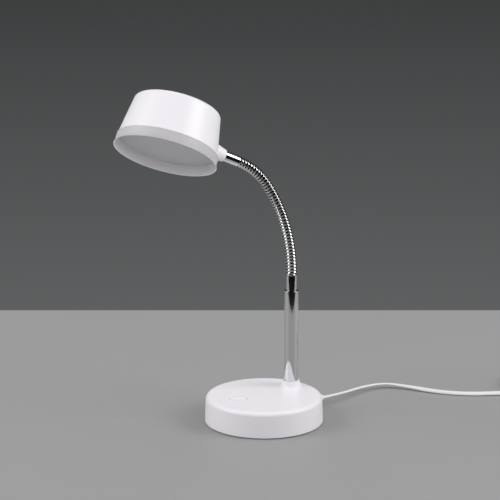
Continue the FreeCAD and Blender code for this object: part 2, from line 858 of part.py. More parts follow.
def light_source():
    """The LED board with its chips, on an aluminium disc that is screwed to the shade."""
    board_top = dim.heat_sink_top - dim.heat_sink_thick
    board_foot = board_top - dim.led_board_thick
    screw_hole = dim.head_screw_shank_radius + dim.screw_fit

    sink = new_body("heat_sink")
    cylinder(sink, "sink_disc", heat_sink_radius, dim.heat_sink_thick, (0, 0, board_top))
    sink_seat = on_ring(head_post_ring, HEAD_POST_ANGLE, board_top)
    sink_hole = cylinder(sink, "sink_hole", screw_hole, dim.heat_sink_thick, sink_seat, cut=True)
    around(sink, "sink_holes", [sink_hole], HEAD_POSTS)
    keep(sink, head_frame)

    board = new_body("led_board")
    cylinder(board, "board_disc", led_board_radius, dim.led_board_thick, (0, 0, board_foot))
    board_seat = on_ring(head_post_ring, HEAD_POST_ANGLE, board_foot)
    board_hole = cylinder(
        board, "board_hole", screw_hole, dim.led_board_thick, board_seat, cut=True
    )
    around(board, "board_holes", [board_hole], HEAD_POSTS)
    keep(board, head_frame)

    chips = new_body("led_chips")
    chip_foot = board_foot - dim.chip_thick
    rings = (
        ("outer", chip_ring_outer, OUTER_CHIPS),
        ("inner", chip_ring_inner, INNER_CHIPS),
    )
    for name, ring, count in rings:
        chip = block(
            chips, f"{name}_chip", dim.chip_length, dim.chip_width, dim.chip_thick,
            (ring, 0, chip_foot),
        )
        around(chips, f"{name}_chips", [chip], count)
    keep(chips, head_frame)

    screws = new_body("head_screws")
    neck_level = on_ring(head_post_ring, HEAD_POST_ANGLE, board_foot)
    head_foot = board_foot - dim.head_screw_head_thick
    head_seat = on_ring(head_post_ring, HEAD_POST_ANGLE, head_foot)
    head = cylinder(
        screws, "head_screw_head", dim.head_screw_head_radius, dim.head_screw_head_thick, head_seat
    )
    shank = cylinder(
        screws, "head_screw_shank", dim.head_screw_shank_radius, dim.head_screw_length, neck_level
    )
    around(screws, "head_screw_set", [head, shank], HEAD_POSTS)
    keep(screws, head_frame)


def neck_end_pieces():
    """The upper ferrule with its threaded tail, and the washer and nut inside the shade."""
    washer_start = boss_seat - dim.neck_washer_thick
    nut_start = washer_start - dim.neck_nut_thick
    tail_start = nut_start - dim.tail_spare
    tail_length = boss_reach - tail_start
    body_length = dim.high_ferrule_length - dim.joint_gap
    thread_radius = dim.tail_radius + dim.thread_fit

    ferrule = new_body("upper_ferrule")
    turned(
        ferrule,
        "high_ferrule_body",
        [
            (dim.hose_bore_radius, 0),
            (dim.tail_radius, 0),
            (dim.tail_radius, tail_length),
            (dim.hose_radius, tail_length),
            (dim.hose_radius, tail_length + body_length),
            (dim.hose_bore_radius, tail_length + body_length),
        ],
    )
    keep(ferrule, along_boss(tail_start))

    washer = new_body("neck_washer")
    cylinder(washer, "neck_washer_disc", dim.neck_washer_radius, dim.neck_washer_thick)
    cylinder(washer, "neck_washer_hole", thread_radius, dim.neck_washer_thick, cut=True)
    keep(washer, along_boss(washer_start))

    nut = new_body("neck_nut")
    hexagon(nut, "neck_nut_hex", dim.neck_nut_corner, dim.neck_nut_thick)
    cylinder(nut, "neck_nut_thread", thread_radius, dim.neck_nut_thick, cut=True)
    keep(nut, along_boss(nut_start))


def low_voltage_lead():
    """The lead's two end stretches: down the stem to its connector, and into the head."""
    connector_foot = weight_top
    lead_height = connector_foot + dim.connector_height / 2
    top = neck_start - dim.lead_gap
    points = [
        vector(*stem, top),
        vector(*stem, lead_height),
        vector(connector_end, stem_y, lead_height),
    ]
    lead, _ = swept("stem_lead", dim.lead_radius.value, points, [dim.lead_bend_base.value])
    keep(lead)

    connector = new_body("lead_connector")
    length = dim.connector_length
    block(
        connector, "connector_shell", length, dim.connector_width, dim.connector_height,
        (board_right + length / 2, stem_y, connector_foot),
    )
    keep(connector)

    board_foot = dim.heat_sink_top - dim.heat_sink_thick - dim.led_board_thick
    neck_side = boss_reach + dim.high_ferrule_length - dim.lead_gap
    points = [
        vector(neck_side, 0, dim.boss_height),
        vector(lead_landing, 0, dim.boss_height),
        vector(lead_landing, 0, board_foot),
    ]
    lead, _ = swept("head_lead", dim.lead_radius.value, points, [dim.lead_bend_head.value])
    keep(lead, head_frame)


def switch_pieces():
    """The push button with its plunger, and the latching switch under it."""
    centre = (button_x, button_y)
    frame = Placement(vector(*centre, 0), Rotation())
    cap_top = cover_top - dim.button_sink
    flange_top = ceiling - dim.button_gap
    flange_foot = flange_top - dim.button_flange_thick
    well_top = weight_top + dim.switch_height
    well_floor = well_top - dim.switch_well
    plunger_foot = well_floor + dim.button_travel + dim.plunger_spare

    button = new_body("switch_button")
    turned(
        button,
        "button_cap",
        [
            (0, flange_foot),
            (dim.button_flange_radius, flange_foot),
            (dim.button_flange_radius, flange_top),
            (dim.button_radius, flange_top),
            (dim.button_radius, cap_top),
            (0, cap_top),
        ],
    )
    dish = dish_sphere(dim.button_dish_radius, dim.button_dish)
    ball = button.newObject("PartDesign::SubtractiveSphere", "button_dish")
    bind(ball, Radius=dish)
    place(ball, (0, 0, cap_top - dim.button_dish + dish))
    keep(button, frame)

    plunger = new_body("switch_plunger")
    cylinder(
        plunger, "plunger_rod", dim.plunger_radius, flange_foot - plunger_foot, (0, 0, plunger_foot)
    )
    keep(plunger, frame)

    switch = new_body("switch_body")
    block(
        switch, "switch_case", dim.switch_side, dim.switch_side, dim.switch_height,
        (0, 0, weight_top),
    )
    cylinder(
        switch, "switch_well", dim.plunger_radius + dim.plunger_gap, dim.switch_well,
        (0, 0, well_floor), cut=True,
    )
    keep(switch, frame)


def driver_pieces():
    """The driver board on its standoffs, with the parts that stand on it."""
    board_foot = weight_top + dim.standoff_height
    board_top = board_foot + dim.board_thick
    half_length = dim.board_length / 2 - dim.standoff_inset
    half_width = dim.board_width / 2 - dim.standoff_inset

    standoffs = []
    for x_side in (-1, 1):
        for y_side in (-1, 1):
            post = doc.addObject("Part::Cylinder", "standoff")
            bind(post, Radius=dim.standoff_radius, Height=dim.standoff_height)
            x = board_x + x_side * half_length
            y = board_y + y_side * half_width
            standoffs.append(place(post, (x, y, weight_top)))
    keep(group("board_standoffs", standoffs))

    board = new_body("driver_board")
    block(
        board, "driver_laminate", dim.board_length, dim.board_width, dim.board_thick,
        (board_x, board_y, board_foot),
    )
    keep(board)

    transformer = new_body("driver_transformer")
    block(
        transformer, "transformer_case", dim.transformer_length, dim.transformer_width,
        dim.transformer_height, (board_x, board_y, board_top),
    )
    keep(transformer)

    capacitors = []
    for side in (-1, 1):
        can = doc.addObject("Part::Cylinder", "capacitor")
        bind(can, Radius=dim.capacitor_radius, Height=dim.capacitor_height)
        reach = dim.board_length / 2 - 2 * dim.standoff_inset
        capacitors.append(place(can, (board_x + side * reach, board_y, board_top)))
    keep(group("driver_capacitors", capacitors))


def mains_pieces():
    """The terminal block and the leads that join the cord, the switch and the board."""
    block_body = new_body("terminal_block")
    block(
        block_body, "terminal_case", dim.block_length, dim.block_width, dim.block_height,
        (block_x, block_y, weight_top),
    )
    keep(block_body)

    inner_end = inner_radius - dim.relief_clip_inset - dim.relief_clip_thick
    drop = on_ring(mains_drop_reach, dim.cord_azimuth, dim.cord_exit_height)
    lead_height = weight_top + dim.block_height / 2
    points = [
        vector(*on_ring(inner_end, dim.cord_azimuth, dim.cord_exit_height)),
        vector(*drop),
        vector(drop[0], drop[1], lead_height),
        vector(drop[0], block_back, lead_height),
    ]
    bends = [dim.mains_bend.value] * 2
    lead, _ = swept("mains_lead", dim.mains_lead_radius.value, points, bends)
    keep(lead)

    board_middle = weight_top + dim.standoff_height + dim.board_thick / 2
    cores = []
    for step in (1, 3):
        core = doc.addObject("Part::Cylinder", "board_core")
        bind(core, Radius=dim.core_lead_radius, Height=board_front - block_back)
        x = board_right - step * dim.core_lead_radius
        cores.append(place(core, (x, block_back, board_middle), Rotation(Vector(1, 0, 0), -90)))
    keep(group("board_leads", cores))

    switch_side = button_x + dim.switch_side / 2
    block_side = block_x - dim.block_length / 2
    height = weight_top + dim.switch_lead_rise
    third = (block_side - switch_side) / 3
    runs = []
    for number, side in enumerate((-1, 1), 1):
        start_y = button_y + side * dim.switch_side / 6
        end_y = block_y + side * dim.block_width / 6
        points = [
            vector(switch_side, start_y, height),
            vector(switch_side + third, start_y, height),
            vector(block_side - third, end_y, height),
            vector(block_side, end_y, height),
        ]
        bends = [dim.switch_lead_bend.value] * 2
        run, _ = swept(f"switch_run_{number}", dim.switch_lead_radius.value, points, bends)
        runs.append(run)
    keep(group("switch_leads", runs))


def cord_relief():
    """The moulded strain relief: a clip behind the wall, a neck and a tapered sleeve."""
    body = new_body("cord_relief")
    clip_face = inner_radius - dim.relief_clip_inset
    clip = body.newObject("PartDesign::AdditiveBox", "relief_clip")
    bind(
        clip, Length=dim.relief_clip_height, Width=dim.relief_clip_length,
        Height=dim.relief_clip_thick,
    )
    start = clip_face - dim.relief_clip_thick
    place(clip, (-(dim.relief_clip_height / 2), -(dim.relief_clip_length / 2), start))
    neck_length = dim.base_radius - clip_face
    cylinder(body, "relief_neck", dim.relief_neck_radius, neck_length, (0, 0, clip_face))
    cone(
        body, "relief_sleeve", dim.relief_root_radius, dim.relief_tip_radius, dim.relief_length,
        (0, 0, dim.base_radius),
    )
    turn = Rotation(Vector(0, 0, 1), dim.cord_azimuth.value) * Rotation(Vector(0, 1, 0), 90)
    keep(body, Placement(vector(0, 0, dim.cord_exit_height), turn))


def cord_radii(points):
    """An arc radius for each inner point, from its two runs and its turn."""
    radii = []
    for before, corner, after in zip(points, points[1:], points[2:]):
        into = corner - before
        away = after - corner
        half_turn = into.getAngle(away) / 2
        radii.append(ARC_SHARE * min(into.Length, away.Length) / math.tan(half_turn))
    return radii


def mains_cord():
    """The cord on the table: the free stretch, the tied coil, the tail and the plug."""
    radius = dim.cord_radius
    relief_tip = on_ring(dim.base_radius + dim.relief_length, dim.cord_azimuth, dim.cord_exit_height)
    lying = radius.value + CORD_LIFT
    route = [
        vector(*relief_tip),
        Vector(80.5, 69.3, 5.3),
        Vector(103.0, 95.0, 4.4),
        Vector(128.0, 109.0, 4.2),
        Vector(152.0, 102.0, 3.4),
        Vector(180.0, 88.0, lying),
        Vector(212.0, 79.0, lying),
        Vector(246.0, 81.0, lying),
        Vector(276.0, 84.0, lying),
    ]
    radii = cord_radii(route)
    cord, free_length = swept("mains_cord", radius.value, route, radii)
    keep(cord)

    cord_coil()
    tail_route = [
        Vector(331.0, 113.0, 12.4),
        Vector(331.3, 128.0, 12.0),
        Vector(330.9, 141.0, 7.6),
        vector(dim.plug_x, dim.plug_y, dim.plug_rest + dim.plug_thick / 2),
    ]
    tail_radii = cord_radii(tail_route)
    tail, tail_length = swept("cord_tail", radius.value, tail_route, tail_radii)
    keep(tail)
    print("cord radii", [round(r, 1) for r in radii + tail_radii])
    print(f"cord free {free_length:.1f} tail {tail_length:.1f}")


def cord_coil():
    """The coil's outer shape, waisted where the tie goes round it, and the tie."""
    half_thick = dim.coil_thick / 2
    coil = new_body("cord_coil")
    turned(
        coil,
        "coil_ring",
        [
            (dim.coil_radius - half_thick, 0),
            (dim.coil_radius + half_thick, 0),
            (dim.coil_radius + half_thick, dim.coil_thick),
            (dim.coil_radius - half_thick, dim.coil_thick),
        ],
    )
    depth = dim.tie_thick + dim.tie_gap
    width = dim.tie_width + 2 * dim.tie_gap
    top = dim.coil_thick - depth
    left = -dim.coil_radius
    reach = dim.coil_thick + 2 * CUT_SPARE
    block(coil, "tie_waist_under", reach, width, depth, (left, 0, 0), cut=True)
    block(coil, "tie_waist_over", reach, width, depth, (left, 0, top), cut=True)
    side_reach = half_thick - depth / 2 + CUT_SPARE / 2
    for name, side in (("outside", -1), ("inside", 1)):
        block(
            coil, f"tie_waist_{name}", depth + CUT_SPARE, width, dim.coil_thick,
            (left + side * side_reach, 0, 0), cut=True,
        )
    frame = Placement(vector(dim.coil_x, dim.coil_y, 0), Rotation())
    keep(coil, frame)

    tie = new_body("cord_tie")
    block(
        tie, "tie_band", dim.coil_thick, dim.tie_width, dim.coil_thick, (left, 0, 0)
    )
    inside = dim.coil_thick - 2 * dim.tie_thick
    block(
        tie, "tie_hollow", inside, dim.tie_width, inside, (left, 0, dim.tie_thick), cut=True
    )
    keep(tie, frame)


def plug():
    """The flat two-pin plug with its moulded relief, lying on the table."""
    height = dim.plug_rest + dim.plug_thick / 2
    turn = Rotation(Vector(0, 0, 1), dim.plug_heading.value) * Rotation(Vector(0, 1, 0), 90)
    frame = Placement(vector(dim.plug_x, dim.plug_y, height), turn)

    body = new_body("plug_body")
    cone(
        body, "plug_relief", dim.cord_radius + dim.plug_relief_wall, dim.plug_relief_radius,
        dim.plug_relief_length,
    )
    sketch = outline(
        body,
        "plug_plan",
        "YZ_Plane",
        [
            (dim.plug_half_front - dim.plug_half_rear, dim.plug_relief_length),
            (dim.plug_half_front + dim.plug_half_rear, dim.plug_relief_length),
            (2 * dim.plug_half_front, dim.plug_relief_length + dim.plug_shoulder),
            (2 * dim.plug_half_front, dim.plug_relief_length + dim.plug_length),
            (0, dim.plug_relief_length + dim.plug_length),
            (0, dim.plug_relief_length + dim.plug_shoulder),
        ],
    )
    place_offset = Placement(vector(-dim.plug_half_front, 0, 0), Rotation())
    sketch.AttachmentOffset = place_offset
    shell = body.newObject("PartDesign::Pad", "plug_shell")
    shell.Profile = sketch
    shell.Midplane = True
    bind(shell, Length=dim.plug_thick)
    doc.recompute()
    long_edges = [
        f"Edge{number}"
        for number, edge in enumerate(shell.Shape.Edges, 1)
        if not isinstance(edge.Curve, Part.Circle)
        and abs(abs(edge.CenterOfMass.x) - dim.plug_thick.value / 2) < 1e-3
        and edge.CenterOfMass.z > dim.plug_relief_length.value + 1e-3
    ]
    rounded = body.newObject("PartDesign::Fillet", "plug_rounding")
    rounded.Base = (shell, long_edges)
    bind(rounded, Radius=dim.plug_round)
    keep(body, frame)

    pins = []
    for side in (-1, 1):
        pin = doc.addObject("Part::Cylinder", "plug_pin")
        bind(pin, Radius=dim.pin_radius, Height=dim.pin_length)
        start = dim.plug_relief_length + dim.plug_length
        pins.append(place(pin, (0, side * dim.pin_spacing / 2, start)))
    keep(group("plug_pins", pins), frame)


base_pad()
base_plate()
base_screws()
base_cover()
base_weight()
stem_pieces()
lower_ferrule()
gooseneck_links()
neck_end_pieces()
shade()
diffuser()
light_source()
low_voltage_lead()
switch_pieces()
driver_pieces()
mains_pieces()
cord_relief()
mains_cord()
plug()
doc.recompute()

for item in doc.Objects:
    if {"Invalid", "Error"} & set(item.State):
        raise ValueError(f"{item.Name} did not build: {item.State}")

os.makedirs("parts", exist_ok=True)
for node in nodes:
    shape = node.Shape
    if shape.isNull() or not shape.isValid() or not shape.Solids:
        raise ValueError(f"{node.Label} has no valid solid")
    shape.exportStep(f"parts/{node.Label}.step")

print(f"{len(nodes)} sub-parts")
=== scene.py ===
"""Gooseneck desk lamp: the photograph's camera, the studio, and the lamp's visible pieces."""

import json
import logging
import math
from dataclasses import dataclass, field
from enum import Enum

import bmesh
import bpy
import numpy as np
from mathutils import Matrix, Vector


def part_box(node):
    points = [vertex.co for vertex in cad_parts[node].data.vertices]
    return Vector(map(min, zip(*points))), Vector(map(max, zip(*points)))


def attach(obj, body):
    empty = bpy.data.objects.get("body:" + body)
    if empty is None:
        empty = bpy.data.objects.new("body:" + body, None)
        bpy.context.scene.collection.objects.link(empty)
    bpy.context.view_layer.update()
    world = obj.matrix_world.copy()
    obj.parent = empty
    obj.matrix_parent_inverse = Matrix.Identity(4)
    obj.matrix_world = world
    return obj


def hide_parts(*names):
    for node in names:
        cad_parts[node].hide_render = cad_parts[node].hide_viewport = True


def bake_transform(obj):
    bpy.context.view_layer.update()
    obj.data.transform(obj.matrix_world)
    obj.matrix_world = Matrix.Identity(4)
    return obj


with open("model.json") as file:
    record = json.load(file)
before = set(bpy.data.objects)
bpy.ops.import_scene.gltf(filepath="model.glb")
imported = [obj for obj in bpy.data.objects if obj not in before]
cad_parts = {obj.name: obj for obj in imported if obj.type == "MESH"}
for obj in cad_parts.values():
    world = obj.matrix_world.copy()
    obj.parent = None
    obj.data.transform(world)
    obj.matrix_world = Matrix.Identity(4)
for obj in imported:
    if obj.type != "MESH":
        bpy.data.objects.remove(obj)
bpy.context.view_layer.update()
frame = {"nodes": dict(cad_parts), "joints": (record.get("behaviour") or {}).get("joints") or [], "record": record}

log = logging.getLogger("lamp")

MM = 0.001
SEGMENTS = 160
BRACE = 0.15
UP = np.array([0.0, 0.0, 1.0])
MIX_FIRST, MIX_SECOND, MIX_RESULT = 6, 7, 2


# Meshes


def mesh_object(
    name: str, points: np.ndarray, faces: list[np.ndarray], crease: float = 40.0
) -> bpy.types.Object:
    """Puts points and faces into a smooth-shaded object at the origin.

    Args:
        name: The piece's name.
        points: Vertices in the lamp's frame, in metres, one row each.
        faces: Arrays of vertex indices, one array for each number of corners.
        crease: The angle in degrees above which an edge stays sharp.

    Returns:
        The new object, linked to the scene.
    """
    mesh = bpy.data.meshes.new(name)
    corners = [row for block in faces for row in block.tolist()]
    mesh.from_pydata(points.tolist(), [], corners)
    work = bmesh.new()
    work.from_mesh(mesh)
    bmesh.ops.remove_doubles(work, verts=work.verts, dist=1e-7)
    bmesh.ops.recalc_face_normals(work, faces=work.faces)
    work.to_mesh(mesh)
    work.free()
    mesh.shade_smooth()
    mesh.set_sharp_from_angle(angle=math.radians(crease))
    piece = bpy.data.objects.new(name, mesh)
    bpy.context.scene.collection.objects.link(piece)
    return piece


def grid_faces(rows: int, columns: int, close_rows: bool, close_columns: bool) -> np.ndarray:
    """Quads of a grid whose vertex index is row times columns plus column.

    Args:
        rows: Number of rows of vertices.
        columns: Number of vertices in a row.
        close_rows: Whether the last row joins the first.
        close_columns: Whether the last column joins the first.

    Returns:
        One row of four indices for each quad.
    """
    row = np.arange(rows if close_rows else rows - 1)[:, None]
    column = np.arange(columns if close_columns else columns - 1)[None, :]
    next_row, next_column = (row + 1) % rows, (column + 1) % columns
    quads = np.stack(
        [
            row * columns + column,
            row * columns + next_column,
            next_row * columns + next_column,
            next_row * columns + column,
        ],
        axis=-1,
    )
    return quads.reshape(-1, 4)


def end_caps(rows: int, columns: int) -> list[np.ndarray]:
    """Faces that close the first and last row of a grid, with a corner for each column.

    Args:
        rows: Number of rows of vertices.
        columns: Number of vertices in a row.

    Returns:
        The first row's face, turned over, and the last row's.
    """
    last = (rows - 1) * columns
    return [np.arange(columns)[None, ::-1], (np.arange(columns) + last)[None, :]]


def circle(count: int) -> np.ndarray:
    """Cosines and sines of even angles round a circle, one row each."""
    angle = np.linspace(0, 2 * np.pi, count, endpoint=False)
    return np.stack([np.cos(angle), np.sin(angle)], -1)


def lifted(flat: np.ndarray, height: np.ndarray) -> np.ndarray:
    """Rows of flat points as one list of points, each row raised to its height."""
    level = np.broadcast_to(height[:, None, None], (*flat.shape[:2], 1))
    return np.concatenate([flat, level], -1).reshape(-1, 3)


def squared(values: np.ndarray, power: float | np.ndarray) -> np.ndarray:
    """Cosines or sines raised to a power with their sign kept, which squares a circle."""
    return np.sign(values) * np.abs(values) ** power


def rounded_outline(
    corners: list[tuple[float, float, float]], closed: bool = True, steps: int = 7
) -> np.ndarray:
    """A flat outline with its corners rounded.

    At a corner the arc touches both sides: it starts at the radius divided by the tangent of half
    the corner's angle before it, and sweeps about its own middle to the other side.

    Args:
        corners: Radius, height and rounding of each corner, in millimetres.
        closed: Whether the last corner joins the first.
        steps: Points on each rounded corner.

    Returns:
        Points of the outline, in millimetres, one row each.
    """
    spots = np.array([corner[:2] for corner in corners], float)
    out = []
    count = len(corners)
    for index, corner in enumerate(corners):
        at_end = not closed and index in (0, count - 1)
        if corner[2] <= 0 or at_end:
            out.append(spots[index : index + 1])
            continue
        before = spots[index - 1] - spots[index]
        before /= np.linalg.norm(before)
        after = spots[(index + 1) % count] - spots[index]
        after /= np.linalg.norm(after)
        half = math.acos(float(np.clip(before @ after, -1, 1))) / 2
        reach = corner[2] / math.tan(half)
        inward = (before + after) / np.linalg.norm(before + after)
        middle = spots[index] + inward * corner[2] / math.sin(half)
        start = spots[index] + before * reach - middle
        sweep = math.pi - 2 * half
        turn = math.copysign(sweep, start[0] * after[1] - start[1] * after[0])
        angle = np.linspace(0, turn, steps)[:, None]
        across = np.array([-start[1], start[0]])
        out.append(middle + start * np.cos(angle) + across * np.sin(angle))
    return braced(np.vstack(out), closed)


def braced(outline: np.ndarray, closed: bool) -> np.ndarray:
    """An outline with a point close to each end of its long runs.

    A new point is an end moved along its run by the brace length, so that a straight wall is
    shaded as straight right up to its rounded ends.

    Args:
        outline: Points of the outline, in millimetres.
        closed: Whether the last point joins the first.

    Returns:
        The outline with the added points, in order.
    """
    first = outline if closed else outline[:-1]
    run = (np.roll(outline, -1, 0) if closed else outline[1:]) - first
    length = np.linalg.norm(run, axis=1, keepdims=True)
    step = run * (BRACE / np.maximum(length, BRACE))
    rows = np.stack([first, first + step, first + run - step], 1).reshape(-1, 2)
    long = (length[:, 0] > 4 * BRACE)[:, None]
    kept = np.hstack([np.ones_like(long), long, long]).ravel()
    return rows[kept] if closed else np.vstack([rows[kept], outline[-1:]])


def turned(
    outline: np.ndarray, segments: int = SEGMENTS, closed: bool = True
) -> tuple[np.ndarray, list[np.ndarray]]:
    """A surface of revolution about Z.

    A point is the outline's radius times the cosine and sine of the angle, at its height.

    Args:
        outline: Radius and height of each outline point.
        segments: Points round the axis.
        closed: Whether the outline is a loop.

    Returns:
        Points, in the outline's unit, and face arrays.
    """
    flat = outline[:, 0, None, None] * circle(segments)[None]
    return lifted(flat, outline[:, 1]), [grid_faces(len(outline), segments, closed, True)]


@dataclass(frozen=True)
class Place:
    """A turned and shifted frame: columns of turn are its X, Y and Z, in the lamp's frame."""

    origin: np.ndarray
    turn: np.ndarray = field(default_factory=lambda: np.eye(3))

    def to_lamp(self, points: np.ndarray) -> np.ndarray:
        """Points of this frame, in millimetres, as points of the lamp's frame in metres."""
        return (points @ self.turn.T + self.origin) * MM


# Finishes


class Look:
    """A node tree under construction, with short calls for the nodes that the finishes use."""

    def __init__(self, name: str) -> None:
        """Starts a material with only its shader and output.

        Args:
            name: The material's name.
        """
        self.material = bpy.data.materials.new(name)
        self.material.use_nodes = True
        self.nodes = self.material.node_tree.nodes
        self.links = self.material.node_tree.links
        self.shader = self.nodes["Principled BSDF"]

    def set(self, **values: object) -> "Look":
        """Sets sockets of the shader. An underscore stands for a space."""
        for name, value in values.items():
            self.shader.inputs[name.replace("_", " ")].default_value = value
        return self

    def noise(
        self, scale: float, detail: float = 2.0, stretch: tuple[float, float, float] = (1.0, 1.0, 1.0)
    ) -> bpy.types.NodeSocket:
        """Noise on Object coordinates.

        Args:
            scale: Features for each metre.
            detail: Octaves.
            stretch: Scale along X, Y and Z.

        Returns:
            The noise's value socket.
        """
        place = self.nodes.new("ShaderNodeTexCoord")
        mapping = self.nodes.new("ShaderNodeMapping")
        mapping.inputs["Scale"].default_value = stretch
        texture = self.nodes.new("ShaderNodeTexNoise")
        texture.inputs["Scale"].default_value = scale
        texture.inputs["Detail"].default_value = detail
        self.links.new(place.outputs["Object"], mapping.inputs["Vector"])
        self.links.new(mapping.outputs["Vector"], texture.inputs["Vector"])
        return texture.outputs["Fac"]

    def vary(self, socket: str, source: bpy.types.NodeSocket, low: float, high: float) -> None:
        """Drives a shader number between two values.

        Args:
            socket: The shader's socket.
            source: A value from 0 to 1.
            low: The number at 0.
            high: The number at 1.
        """
        spread = self.nodes.new("ShaderNodeMapRange")
        spread.inputs["To Min"].default_value = low
        spread.inputs["To Max"].default_value = high
        self.links.new(source, spread.inputs["Value"])
        self.links.new(spread.outputs["Result"], self.shader.inputs[socket])

    def tint(self, source: bpy.types.NodeSocket, first: tuple, second: tuple) -> None:
        """Drives the base colour between two colours.

        Args:
            source: A value from 0 to 1.
            first: The colour at low values.
            second: The colour at high values.
        """
        ramp = self.nodes.new("ShaderNodeValToRGB")
        ramp.color_ramp.elements[0].position = 0.3
        ramp.color_ramp.elements[1].position = 0.7
        ramp.color_ramp.elements[0].color = (*first, 1.0)
        ramp.color_ramp.elements[1].color = (*second, 1.0)
        self.links.new(source, ramp.inputs["Fac"])
        self.links.new(ramp.outputs["Color"], self.shader.inputs["Base Color"])

    def bump(self, source: bpy.types.NodeSocket, height: float, strength: float = 1.0) -> None:
        """Adds relief.

        Args:
            source: A value from 0 to 1.
            height: The relief's height at 1, in metres.
            strength: How much of it shows, from 0 to 1.
        """
        relief = self.nodes.new("ShaderNodeBump")
        relief.inputs["Distance"].default_value = height
        relief.inputs["Strength"].default_value = strength
        self.links.new(source, relief.inputs["Height"])
        self.links.new(relief.outputs["Normal"], self.shader.inputs["Normal"])


@dataclass(frozen=True)
class MouldedPlastic:
    """Moulded plastic: nearly even colour, a slight orange peel and uneven gloss."""

    name: str
    colour: tuple[float, float, float]
    gloss: tuple[float, float] = (0.3, 0.37)
    peel_scale: float = 380.0
    peel_height: float = 0.00002
    shading: float = 0.985

    def material(self) -> bpy.types.Material:
        """Makes the finish.

        Returns:
            Its material.
        """
        look = Look(self.name).set(IOR=1.49)
        shaded = tuple(channel * self.shading for channel in self.colour)
        look.tint(look.noise(22.0), self.colour, shaded)
        look.vary("Roughness", look.noise(140.0), *self.gloss)
        look.bump(look.noise(self.peel_scale, 3.0), self.peel_height)
        return look.material


@dataclass(frozen=True)
class FrostedPlastic:
    """Translucent plastic with light scattered inside it and a fine frosted surface."""

    name: str
    colour: tuple[float, float, float]
    scatter: float = 0.004
    clear: float = 0.25

    def material(self) -> bpy.types.Material:
        """Makes the finish.

        Returns:
            Its material.
        """
        look = Look(self.name).set(
            IOR=1.49,
            Transmission_Weight=self.clear,
            Subsurface_Weight=0.5,
            Subsurface_Scale=self.scatter,
            Subsurface_Radius=(1.0, 1.0, 1.0),
        )
        shaded = tuple(channel * 0.97 for channel in self.colour)
        look.tint(look.noise(30.0), self.colour, shaded)
        look.vary("Roughness", look.noise(200.0), 0.38, 0.48)
        look.bump(look.noise(1800.0, 4.0), 0.00001)
        return look.material


@dataclass(frozen=True)
class PlatedMetal:
    """Polished or satin metal with faint streaks along one direction."""

    name: str
    colour: tuple[float, float, float]
    roughness: tuple[float, float] = (0.05, 0.1)
    streak: tuple[float, float, float] = (1.0, 1.0, 0.05)
    relief: float = 0.0000015

    def material(self) -> bpy.types.Material:
        """Makes the finish.

        Returns:
            Its material.
        """
        look = Look(self.name).set(Metallic=1.0)
        worn = tuple(channel * 0.95 for channel in self.colour)
        look.tint(look.noise(60.0, 3.0, self.streak), self.colour, worn)
        look.vary("Roughness", look.noise(220.0, 4.0, self.streak), *self.roughness)
        look.bump(look.noise(900.0, 2.0, self.streak), self.relief)
        return look.material


@dataclass(frozen=True)
class CastMetal:
    """Rough cast iron with a grained skin."""

    name: str
    colour: tuple[float, float, float]

    def material(self) -> bpy.types.Material:
        """Makes the finish.

        Returns:
            Its material.
        """
        look = Look(self.name).set(Metallic=0.6)
        pale = tuple(channel * 1.35 for channel in self.colour)
        look.tint(look.noise(260.0, 6.0), self.colour, pale)
        look.vary("Roughness", look.noise(400.0, 4.0), 0.55, 0.75)
        look.bump(look.noise(700.0, 6.0), 0.00025)
        return look.material


@dataclass(frozen=True)
class SoftFoam:
    """Matt rubber foam with open cells."""

    name: str
    colour: tuple[float, float, float]

    def material(self) -> bpy.types.Material:
        """Makes the finish.

        Returns:
            Its material.
        """
        look = Look(self.name).set(Specular_IOR_Level=0.25)
        pale = tuple(channel * 1.6 for channel in self.colour)
        look.tint(look.noise(900.0, 4.0), self.colour, pale)
        look.vary("Roughness", look.noise(300.0), 0.8, 0.95)
        look.bump(look.noise(1500.0, 3.0), 0.0002)
        return look.material


class Finish(Enum):
    """Every finish of the lamp, named as the record's material slots are."""

    white_shell = MouldedPlastic("white_shell", (0.83, 0.81, 0.845))
    frosted = FrostedPlastic("frosted", (0.67, 0.654, 0.686))
    chrome = PlatedMetal("chrome", (0.80, 0.80, 0.81))
    plated_steel = PlatedMetal("plated_steel", (0.62, 0.62, 0.6), (0.25, 0.4))
    painted_steel = MouldedPlastic("painted_steel", (0.1, 0.1, 0.105), (0.4, 0.5), 500.0, 0.00005, 0.9)
    iron = CastMetal("iron", (0.07, 0.07, 0.075))
    foam = SoftFoam("foam", (0.012, 0.012, 0.012))
    white_cable = MouldedPlastic("white_cable", (0.80, 0.80, 0.79), (0.3, 0.4), 700.0, 0.00003, 0.97)
    laminate = MouldedPlastic("laminate", (0.03, 0.14, 0.05), (0.25, 0.4), 900.0, 0.00002, 0.8)
    white_laminate = MouldedPlastic("white_laminate", (0.8, 0.8, 0.78), (0.35, 0.45), 900.0, 0.00002)
    bare_aluminium = PlatedMetal("bare_aluminium", (0.82, 0.82, 0.83), (0.3, 0.42), (1.0, 0.04, 1.0))
    phosphor = MouldedPlastic("phosphor", (0.8, 0.62, 0.12), (0.3, 0.4), 1500.0, 0.00002, 0.9)
    black_part = MouldedPlastic("black_part", (0.02, 0.02, 0.02), (0.35, 0.5), 900.0, 0.00003, 0.8)
    brass = PlatedMetal("brass", (0.72, 0.53, 0.22), (0.18, 0.3))


